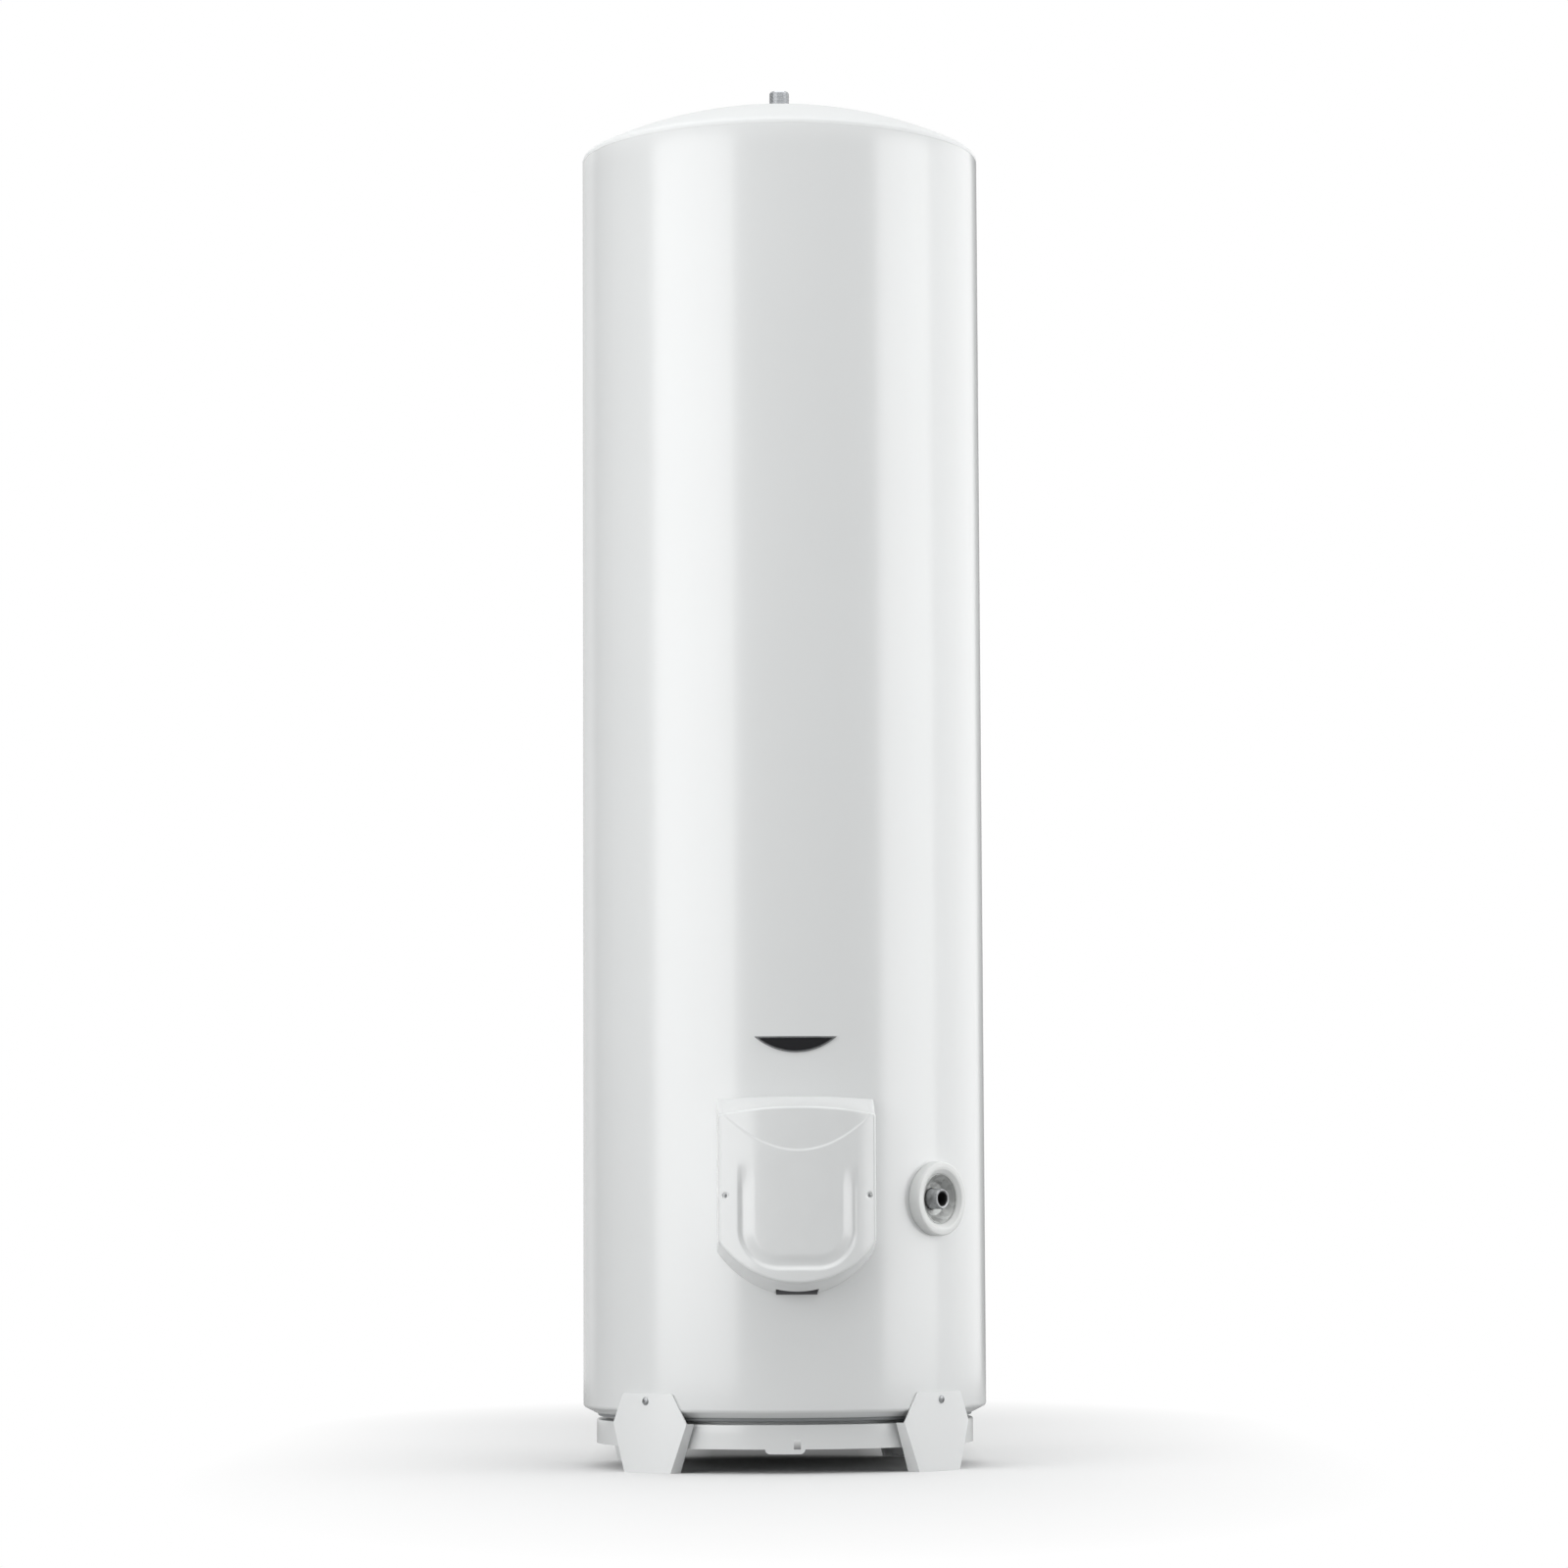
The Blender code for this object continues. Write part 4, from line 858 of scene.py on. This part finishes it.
def hood_depth(x, z):
    """Distance of the hood's front from the tank's axis."""
    bow = BOW_CENTRE + math.sqrt(BOW_RADIUS**2 - x * x)
    across = abs(x) - (GROOVE_HALF - GROOVE_CORNER)
    down = (GROOVE_LOW + GROOVE_CORNER) - z
    away = math.hypot(max(across, 0.0), max(down, 0.0)) + min(max(across, down), 0.0) - GROOVE_CORNER
    share = -away / GROOVE_INNER if away < 0 else away / GROOVE_OUTER
    groove = 0.5 + 0.5 * math.cos(math.pi * min(share, 1.0))
    groove *= smoothstep((GROOVE_TOP - z) / GROOVE_FADE)
    smile = SMILE_LOW + SMILE_CURVE * x * x
    plate = smoothstep((z - smile) / SMILE_WIDTH + 0.5)
    from_screw = math.hypot(abs(x) - HOOD_SCREW[0], z - HOOD_SCREW[1])
    dimple = 1 - smoothstep((from_screw - DIMPLE_FLAT) / DIMPLE_SIDE)
    return bow - GROOVE_DEPTH * groove - PLATE_SINK * plate - DIMPLE_DEPTH * dimple


def hood_edges(x, inset):
    """Lower and upper edge of the front face at x, inset from the outline."""
    half = HOOD_HALF - inset
    low, low_corner = LOW_EDGE + inset, LOW_EDGE_CORNER + inset
    belly = low_corner - low
    arc = (half**2 + belly**2) / (2 * belly)
    bottom = low + arc - math.sqrt(arc**2 - x * x)
    top = TOP_EDGE - inset - (TOP_EDGE - TOP_EDGE_CORNER) * (x / half) ** 2
    corner = 0.0045 - inset
    over = abs(x) - (half - corner)
    if over > 0:
        top -= corner - math.sqrt(max(corner**2 - over**2, 0.0))
    return bottom, top


def hood_columns(half):
    """X positions across the hood, closer together at its rounded corners."""
    columns = [-half + 2 * half * i / 168 for i in range(169)]
    for inset in (0.0002, 0.0006, 0.0017, 0.0029):
        columns += [inset - half, half - inset]
    columns = spaced(columns + [-NOTCH_HALF, NOTCH_HALF], 0.00015)
    columns[-1] = half
    return columns


def hood():
    """A bowed shell with a recessed scoop, a U-shaped groove and a notch for the cable."""
    work = bmesh.new()
    columns = hood_columns(HOOD_HALF - EDGE_ROUND)
    row_count = 190
    grid = []
    for x in columns:
        low, high = hood_edges(x, EDGE_ROUND)
        column = []
        for j in range(row_count + 1):
            z = low + (high - low) * j / row_count
            column.append(work.verts.new((x, z, hood_depth(x, z))))
        grid.append(column)
    last = len(columns) - 1
    join_grid(work, grid)
    rim = [(grid[i][0], "low") for i in range(last + 1)]
    rim += [(grid[last][j], "side") for j in range(1, row_count)]
    rim += [(grid[i][row_count], "top") for i in range(last, -1, -1)]
    rim += [(grid[0][j], "side") for j in range(row_count - 1, 0, -1)]
    hood_walls(work, rim)
    work.transform(outward(0, 0.0))
    shell = from_bmesh("hood_shell", work, HOOD_PLASTIC, 40.0)
    thicken(shell, HOOD_WALL)
    piece(shell, "hood_cover", "white_plastic", "hood")
    hood_screws()


def rim_normals(rim):
    """Outward directions along the front's rim, longer at its corners."""
    normals = []
    for i in range(len(rim)):
        here = Vector(rim[i][0].co[:2])
        back = (here - Vector(rim[i - 1][0].co[:2])).normalized()
        ahead = (Vector(rim[(i + 1) % len(rim)][0].co[:2]) - here).normalized()
        first = Vector((back.y, -back.x))
        second = Vector((ahead.y, -ahead.x))
        middle = (first + second).normalized()
        normals.append(middle / max(middle.dot(first), 0.6))
    return normals


def wall_point(front, kind, share):
    """The wall's point behind one of the front's edge, a share of the way out from the jacket."""
    seat = math.sqrt((RADIUS + 0.0004) ** 2 - front.x**2)
    depth = seat + (front.z - seat) * share
    if kind == "low":
        return front.x, front.y - LOW_SLOPE * (front.z - depth), depth
    if kind == "top":
        rear_top = REAR_TOP - REAR_DROP * (front.x / HOOD_HALF) ** 2
        return front.x, front.y + (rear_top - front.y) * (1 - share), depth
    climb = (front.y - LOW_EDGE_CORNER) / (TOP_EDGE_CORNER - LOW_EDGE_CORNER)
    upper = (REAR_TOP - REAR_DROP - TOP_EDGE_CORNER) * climb**2
    lower = -LOW_SLOPE * (front.z - seat) * (1 - climb) ** 2
    return front.x, front.y + (upper + lower) * (1 - share), depth


def hood_walls(work, rim):
    """Rounds the front's edge and runs the walls back to the jacket, with a cable notch."""
    count = len(rim)
    rounds = 5
    loops = [[vert for vert, _ in rim]]
    normals = rim_normals(rim)
    for k in range(1, rounds + 1):
        angle = math.pi / 2 * k / rounds
        sink = EDGE_ROUND * (1 - math.cos(angle))
        loop = []
        for (vert, _), normal in zip(rim, normals):
            spread = normal * EDGE_ROUND * math.sin(angle)
            loop.append(work.verts.new((vert.co.x + spread.x, vert.co.y + spread.y, vert.co.z - sink)))
        loops.append(loop)
    edge = loops[-1]
    for share in (NOTCH_SHARE, 0.0):
        places = [wall_point(vert.co, kind, share) for vert, (_, kind) in zip(edge, rim)]
        loops.append([work.verts.new(place) for place in places])
    final = len(loops) - 2
    for step, (inner, outer) in enumerate(zip(loops, loops[1:])):
        for i in range(count):
            j = (i + 1) % count
            middle = (inner[i].co.x + inner[j].co.x) / 2
            both_low = rim[i][1] == "low" and rim[j][1] == "low"
            if step == final and both_low and abs(middle) < NOTCH_HALF:
                continue
            work.faces.new((inner[i], outer[i], outer[j], inner[j]))
    bmesh.ops.delete(work, geom=[v for v in work.verts if not v.link_faces], context="VERTS")


def notch_shade_sheet():
    """A dark grey sheet on the jacket inside the cable notch: painted shade that makes the slot under the
    hood's edge look dark.
    """
    rear = LOW_EDGE - LOW_SLOPE * (HOOD_FRONT - RADIUS)
    half = (NOTCH_HALF - 0.0008) / RADIUS
    steps = 24
    work = bmesh.new()
    rows = []
    for height in (rear + 0.0130, rear + 0.0020):
        angles = [half * (2 * i / steps - 1) for i in range(steps + 1)]
        rows.append([on_drum(work, RADIUS + 0.0009, angle, height) for angle in angles])
    join_grid(work, rows)
    pad = from_bmesh("notch_shade_sheet", work, NOTCH_SHADE_GREY)
    thicken(pad, 0.0007)
    piece(pad, "heater", "rubber")


def hood_screws():
    """The two screws that hold the hood to its brackets."""
    x, z = HOOD_SCREW
    for side, sign in (("left", -1), ("right", 1)):
        seat = outward(0, z, sign * x, hood_depth(sign * x, z) + 0.0001)
        screw = cross_head(f"hood_bolt_{side}", 0.0026, 0.0014, 0.0235, ZINC, seat, 0.5 * sign)
        piece(screw, "hood_cover", "steel", f"hood_screw_{side}")


# ------------------------------------------------------------------- the badge
def badge():
    """A blank glossy plate in a thin bright frame, curved with the jacket."""
    half = (BADGE_HIGH.x - BADGE_LOW.x) / 2
    top, low = BADGE_HIGH.z, BADGE_LOW.z
    base = RADIUS + GAP
    outer = badge_outline(half, top, low, 40)
    inner = badge_outline(half - 0.0052, top - 0.0017, low + 0.0018, 40)
    crest = [(x * 0.994, z) for x, z in outer]
    work = bmesh.new()
    loops = []
    for outline, lift in ((outer, 0.0), (outer, 0.0013), (crest, 0.0017), (inner, 0.0017), (inner, 0.0009)):
        loops.append([badge_point(work, x, z, base + lift) for x, z in outline])
    for first, second in zip(loops, loops[1:]):
        join_rings(work, first, second)
    rim = from_bmesh("badge_frame", work, BADGE_TRIM, 30.0)
    piece(rim, "heater", "silver_trim", "badge_rim")
    badge_plate(half - 0.0056, top - 0.0020, low + 0.0021, base + 0.0011)


def badge_plate(half, top, low, radius):
    """The black face inside the frame."""
    work = bmesh.new()
    columns = []
    for i in range(61):
        x = -half + 2 * half * i / 60
        start, end = badge_span(x, half, top, low)
        columns.append([badge_point(work, x, start + (end - start) * j / 6, radius) for j in range(7)])
    join_grid(work, columns)
    bmesh.ops.remove_doubles(work, verts=work.verts, dist=0.00003)
    plate = from_bmesh("badge_face", work, BADGE_BLACK, 30.0)
    thicken(plate, 0.0008)
    piece(plate, "heater", "badge_black", "badge_plate")


def badge_span(x, half, top, low):
    """Lower and upper edge of the segment at x."""
    sag = top - low
    radius = (half**2 + sag**2) / (2 * sag)
    drop = radius - math.sqrt(max(radius**2 - x * x, 0.0))
    return min(low + drop, top), top


def badge_outline(half, top, low, count):
    """The segment's outline: its curved side first, then its straight one."""
    places = [-half + 2 * half * i / count for i in range(count + 1)]
    points = [(x, badge_span(x, half, top, low)[0]) for x in places]
    return points + [(-x, top) for x in places[1:-1]]


def badge_point(work, x, z, radius):
    """A new vertex over the jacket, x measured along its surface."""
    return on_drum(work, radius, x / RADIUS, z)


# ------------------------------------------------------------- inside the hood
TICKS = 11
TERMINAL_PITCH = 0.013


def dress(name, mat, edge=0.0):
    """Gives a CAD node its material, and fine edges if it has any corners to show."""
    obj = NODES[name]
    obj.data.materials.clear()
    obj.data.materials.append(mat)
    if edge:
        bevel(obj, edge, 2, 40.0)


def dial(middle, front, size, face):
    """The thermostat's knob: turned, with fine grips round its edge and a slot across its middle."""
    stem, seat, end = 0.0030, face + 0.0006, face - 0.0060
    section = [(0.0, front), (size * 0.70, front), (size * 0.80, front - 0.0004)]
    section += [(size * 0.88, front - 0.0016), (size, seat + 0.0010), (size, seat)]
    section += [(stem, seat), (stem, end), (0.0, end)]
    knob = lathe("dial_knob", section, DARK_PLASTIC, None, 144, sharp=32.0)
    for vert in knob.data.vertices:
        radius = math.hypot(vert.co.x, vert.co.y)
        if radius > size * 0.85:
            angle = math.atan2(vert.co.y, vert.co.x)
            left = 1 - 0.0005 * (0.5 + 0.5 * math.cos(24 * angle)) / radius
            vert.co = (vert.co.x * left, vert.co.y * left, vert.co.z)
    carve(knob, box_cutter((0.0016, 0.0085, 0.002), (0.0, 0.0, front), Matrix.Identity(4)))
    knob.data.transform(outward(0, middle.z, middle.x))
    piece(knob, "thermostat_dial", "grey_plastic", "thermostat_knob")


def mark(name, size, place, matrix, body, edge=0.0001):
    """A small white mark on the dial or round it."""
    obj = box_cutter(size, place, matrix)
    obj.name = name
    obj.data.materials[0] = COLLAR_PLASTIC
    bevel(obj, edge, 1)
    piece(obj, body, "white_plastic")


def reset_cap():
    """The red cap of the safety reset button."""
    middle = centre_of("reset_button")
    low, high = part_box("reset_button")
    front, back, radius = AXIS_Y - low.y, AXIS_Y - high.y, (high.x - low.x) / 2
    cap = [(0.0, front - 0.0003), (radius * 0.5, front - 0.0002), (radius - 0.0005, front)]
    cap += [(radius, front - 0.0006), (radius, back), (0.0, back)]
    place_at = outward(0, middle.z, middle.x)
    button = lathe("reset_cap", rounded(cap, 0.0003, 3), RED_PLASTIC, place_at, 40)
    piece(button, "reset_pin", "red_plastic", "reset_button")


def thermostat():
    """The dial with its grips and pointer, a ring of plain ticks, and the reset button."""
    middle = centre_of("thermostat_knob")
    low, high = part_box("thermostat_knob")
    front, size = AXIS_Y - low.y, (high.x - low.x) / 2
    face = AXIS_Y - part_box("thermostat_body")[0].y
    dial(middle, front, size, face)
    pointer_at = (0.0, size * 0.50, front + 0.00005)
    place_at = outward(0, middle.z, middle.x)
    mark("dial_pointer", (0.0012, size * 0.42, 0.0005), pointer_at, place_at, "thermostat_dial")
    for i in range(TICKS):
        turn = place_at @ Matrix.Rotation(-math.radians(-135 + 270 / (TICKS - 1) * i), 4, "Z")
        length = 0.0022 if i % 5 else 0.0034
        tick_at = (0.0, size + 0.0030, face + 0.0001)
        mark(f"dial_tick_{i + 1}", (0.0006, length, 0.0002), tick_at, turn, "heater", 0.00005)
    reset_cap()


def terminals():
    """Brass clamp screws in the terminal block."""
    height = centre_of("terminal_block").z
    depth = AXIS_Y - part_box("terminal_block")[0].y - 0.0030
    for i, x in enumerate((-TERMINAL_PITCH, 0.0, TERMINAL_PITCH)):
        seat = outward(0, height, x, depth)
        screw = cross_head(f"terminal_screw_{i + 1}", 0.0022, 0.0012, 0.0020, BRASS, seat, 0.3 + i)
        piece(screw, "heater", "copper")


def inner_parts():
    """Materials, and fine edges where they show, for the CAD pieces that stay as they are."""
    finishes = [
        (GREY_PLASTIC, 0.0006, ["compartment_frame"]),
        (GREY_PLASTIC, 0.0003, ["inlet_diffuser"]),
        (VITREOUS, 0.0004, ["element_neck"]),
        (VITREOUS, 0.0, ["tank_shell", "tank_top_end", "tank_bottom_end"]),
        (STEEL, 0.0006, ["element_flange"]),
        (STEEL, 0.0, ["thermostat_probe", "tank_skirt"]),
        (RUBBER, 0.0, ["flange_gasket"]),
        (DARK_PLASTIC, 0.0, ["thermostat_body"]),
        (COLLAR_PLASTIC, 0.0, ["terminal_block"]),
        (ZINC, 0.0004, ["anode_nut", "cable_clamp"] + [f"flange_bolt_{i}" for i in range(1, 7)]),
        (ZINC, 0.0003, ["hood_bracket_left", "hood_bracket_right"]),
        (MAGNESIUM, 0.0005, ["anode_rod"]),
        (BRASS, 0.0002, ["earth_stud"]),
        (COPPER, 0.0, ["heating_element_left", "heating_element_right", "element_link"]),
        (COPPER, 0.0, ["thermostat_pocket"]),
        (FOAM, 0.0, ["insulation_foam"]),
        (WIRES["brown"], 0.0, ["live_lead", "element_lead_left"]),
        (WIRES["blue"], 0.0, ["neutral_lead", "element_lead_right"]),
        (WIRES["green"], 0.0, ["earth_lead"]),
    ]
    for mat, edge, names in finishes:
        for name in names:
            dress(name, mat, edge)


# ------------------------------------------------- camera, lights and floor
CAMERA_AZIMUTH = -3.4
CAMERA_DISTANCE = 6.489
CAMERA_HEIGHT = 0.318
CAMERA_TILT = 5.12
CAMERA_ROLL = 0.256
CAMERA_SWING = -0.022
LENS = 112.25


def camera():
    """A long lens, low in front, tilted up a little."""
    azimuth = math.radians(CAMERA_AZIMUTH)
    heading = math.radians(CAMERA_AZIMUTH + CAMERA_SWING)
    tilt, roll = math.radians(CAMERA_TILT), math.radians(CAMERA_ROLL)
    spot = Vector((math.sin(azimuth), -math.cos(azimuth), 0.0)) * CAMERA_DISTANCE
    spot += Vector((0.0, AXIS_Y, CAMERA_HEIGHT))
    level = Vector((-math.sin(heading), math.cos(heading), 0.0))
    forward = level * math.cos(tilt) + Vector((0.0, 0.0, math.sin(tilt)))
    right = forward.cross(Vector((0.0, 0.0, 1.0))).normalized()
    up = right.cross(forward)
    right, up = right * math.cos(roll) - up * math.sin(roll), up * math.cos(roll) + right * math.sin(roll)
    data = bpy.data.cameras.new("camera")
    data.lens = LENS
    data.sensor_width = 36.0
    data.clip_end = 100.0
    obj = bpy.data.objects.new("camera", data)
    matrix = Matrix((right, up, -forward)).transposed().to_4x4()
    matrix.translation = spot
    obj.matrix_world = matrix
    bpy.context.scene.collection.objects.link(obj)
    bpy.context.scene.camera = obj


def softbox(name, azimuth, distance, height, width, tall, radiance, aim=None):
    """A tall area light round the heater, at an angle from the camera's direction."""
    light = bpy.data.lights.new(name, "AREA")
    light.shape = "RECTANGLE"
    light.size, light.size_y = width, tall
    light.energy = radiance * math.pi * width * tall
    obj = bpy.data.objects.new(name, light)
    angle = math.radians(CAMERA_AZIMUTH + azimuth)
    obj.location = (distance * math.sin(angle), AXIS_Y - distance * math.cos(angle), height)
    target = Vector(aim if aim else (0.0, AXIS_Y, height))
    obj.rotation_euler = (target - obj.location).to_track_quat("-Z", "Y").to_euler()
    obj.visible_camera = False
    bpy.context.scene.collection.objects.link(obj)


def studio():
    """Tall boxes to the left and right, a high one in front, and a surround that is bright above."""
    softbox("left_box", -50, 3.0, 0.95, 2.8, 3.4, 2.2)
    softbox("left_rear_box", -155, 3.0, 0.95, 2.2, 3.4, 0.5)
    softbox("right_front_box", 75, 3.0, 0.95, 2.1, 3.4, 2.2)
    softbox("right_rear_box", 122, 3.0, 0.95, 2.9, 3.4, 1.0)
    softbox("top_box", 0, 0.9, 4.2, 4.0, 3.0, 1.3, aim=(0.0, AXIS_Y, 0.6))
    world = bpy.data.worlds.new("studio")
    bpy.context.scene.world = world
    world.use_nodes = True
    tree = world.node_tree
    diffuse = tree.nodes["Background"]
    feed(tree, diffuse, {"Color": (0.66, 0.67, 0.67, 1.0), "Strength": 0.65})
    white = new_node(tree, "Background", {"Color": (1.0, 1.0, 1.0, 1.0)})
    height = coordinates(tree, "Generated")["Z"]
    glow = remap(tree, height, 0.25, 1.4, 0.22, 0.50)
    mirrored = new_node(tree, "Background", {"Color": (0.62, 0.63, 0.63, 1.0), "Strength": glow})
    path = new_node(tree, "LightPath").outputs
    seen = mix_shaders(tree, path["Is Glossy Ray"], diffuse.outputs[0], mirrored.outputs[0])
    whole = mix_shaders(tree, path["Is Camera Ray"], seen, white.outputs[0])
    feed(tree, tree.nodes["World Output"], {"Surface": whole})
    bpy.context.scene.view_settings.view_transform = "Standard"


def mix_shaders(tree, share, first, second):
    """Two shaders mixed by a share of the second."""
    return new_node(tree, "MixShader", {"Fac": share, 1: first, 2: second}).outputs["Shader"]


def calculate(tree, operation, first, second):
    """One step of arithmetic on a value."""
    node = new_node(tree, "Math", {0: first, 1: second})
    node.operation = operation
    return node.outputs["Value"]


FADE_SIDE = 0.62
FADE_FRONT = 1.5
FADE_BEHIND = 1.2
FLOOR_TONE = 0.84
FLOOR_BOUNCE = 0.46
# How dark the painted shadow behind the heater makes the floor's colour.
PAINTED_SHADOW_TONE = 0.25


def floor():
    """A pale floor that fades into the white background to the sides and in front, with a painted shadow
    just behind the heater.
    """
    bpy.ops.mesh.primitive_circle_add(vertices=96, radius=6.0, fill_type="NGON")
    ground = bpy.context.object
    ground.name = "studio_floor"
    ground.location = (0.0, AXIS_Y, 0.0)
    ground.rotation_euler.z = math.radians(CAMERA_AZIMUTH)
    mat, tree, shader = shader_of("pale_floor", (0.86, 0.86, 0.86), 0.7)
    camera_ray = new_node(tree, "LightPath").outputs["Is Camera Ray"]
    parts = coordinates(tree, "Object")
    x, y = parts["X"], parts["Y"]
    # Painted shadow: a soft dark patch in the floor's colour just behind the heater, narrow across and
    # fading out further back.
    middle = remap(tree, calculate(tree, "ABSOLUTE", x, 0.0), 1.0, 0.0, 0.10, 0.27)
    begin = remap(tree, y, 0.0, 1.0, -0.10, 0.18)
    end = remap(tree, y, 1.0, 0.0, 0.42, 0.80)
    painted_shadow = calculate(tree, "MULTIPLY", calculate(tree, "MULTIPLY", begin, end), middle)
    tone = remap(tree, camera_ray, FLOOR_BOUNCE, FLOOR_TONE, 0.0, 1.0)
    tone = calculate(tree, "MULTIPLY", tone, remap(tree, painted_shadow, 1.0, PAINTED_SHADOW_TONE, 0.0, 1.0))
    feed(tree, shader, {"Specular IOR Level": 0.0, "Base Color": tone})
    side = calculate(tree, "MULTIPLY", x, 1 / FADE_SIDE)
    front = calculate(tree, "MAXIMUM", calculate(tree, "MULTIPLY", y, -1 / FADE_FRONT), 0.0)
    front = calculate(tree, "MAXIMUM", front, calculate(tree, "SUBTRACT", y, FADE_BEHIND))
    square = calculate(tree, "MULTIPLY", side, side)
    square = calculate(tree, "ADD", square, calculate(tree, "MULTIPLY", front, front))
    fade = remap(tree, calculate(tree, "POWER", square, 0.5), 0.0, 1.0, 0.25, 1.25)
    white = new_node(tree, "Emission").outputs["Emission"]
    share = calculate(tree, "MULTIPLY", fade, camera_ray)
    whole = mix_shaders(tree, share, shader.outputs["BSDF"], white)
    feed(tree, tree.nodes["Material Output"], {"Surface": whole})
    ground.data.materials.append(mat)


camera()
studio()
floor()
jacket()
cover()
underside()
base_ring()
legs()
outlet()
inlet()
hood()
notch_shade_sheet()
badge()
inner_parts()
thermostat()
terminals()
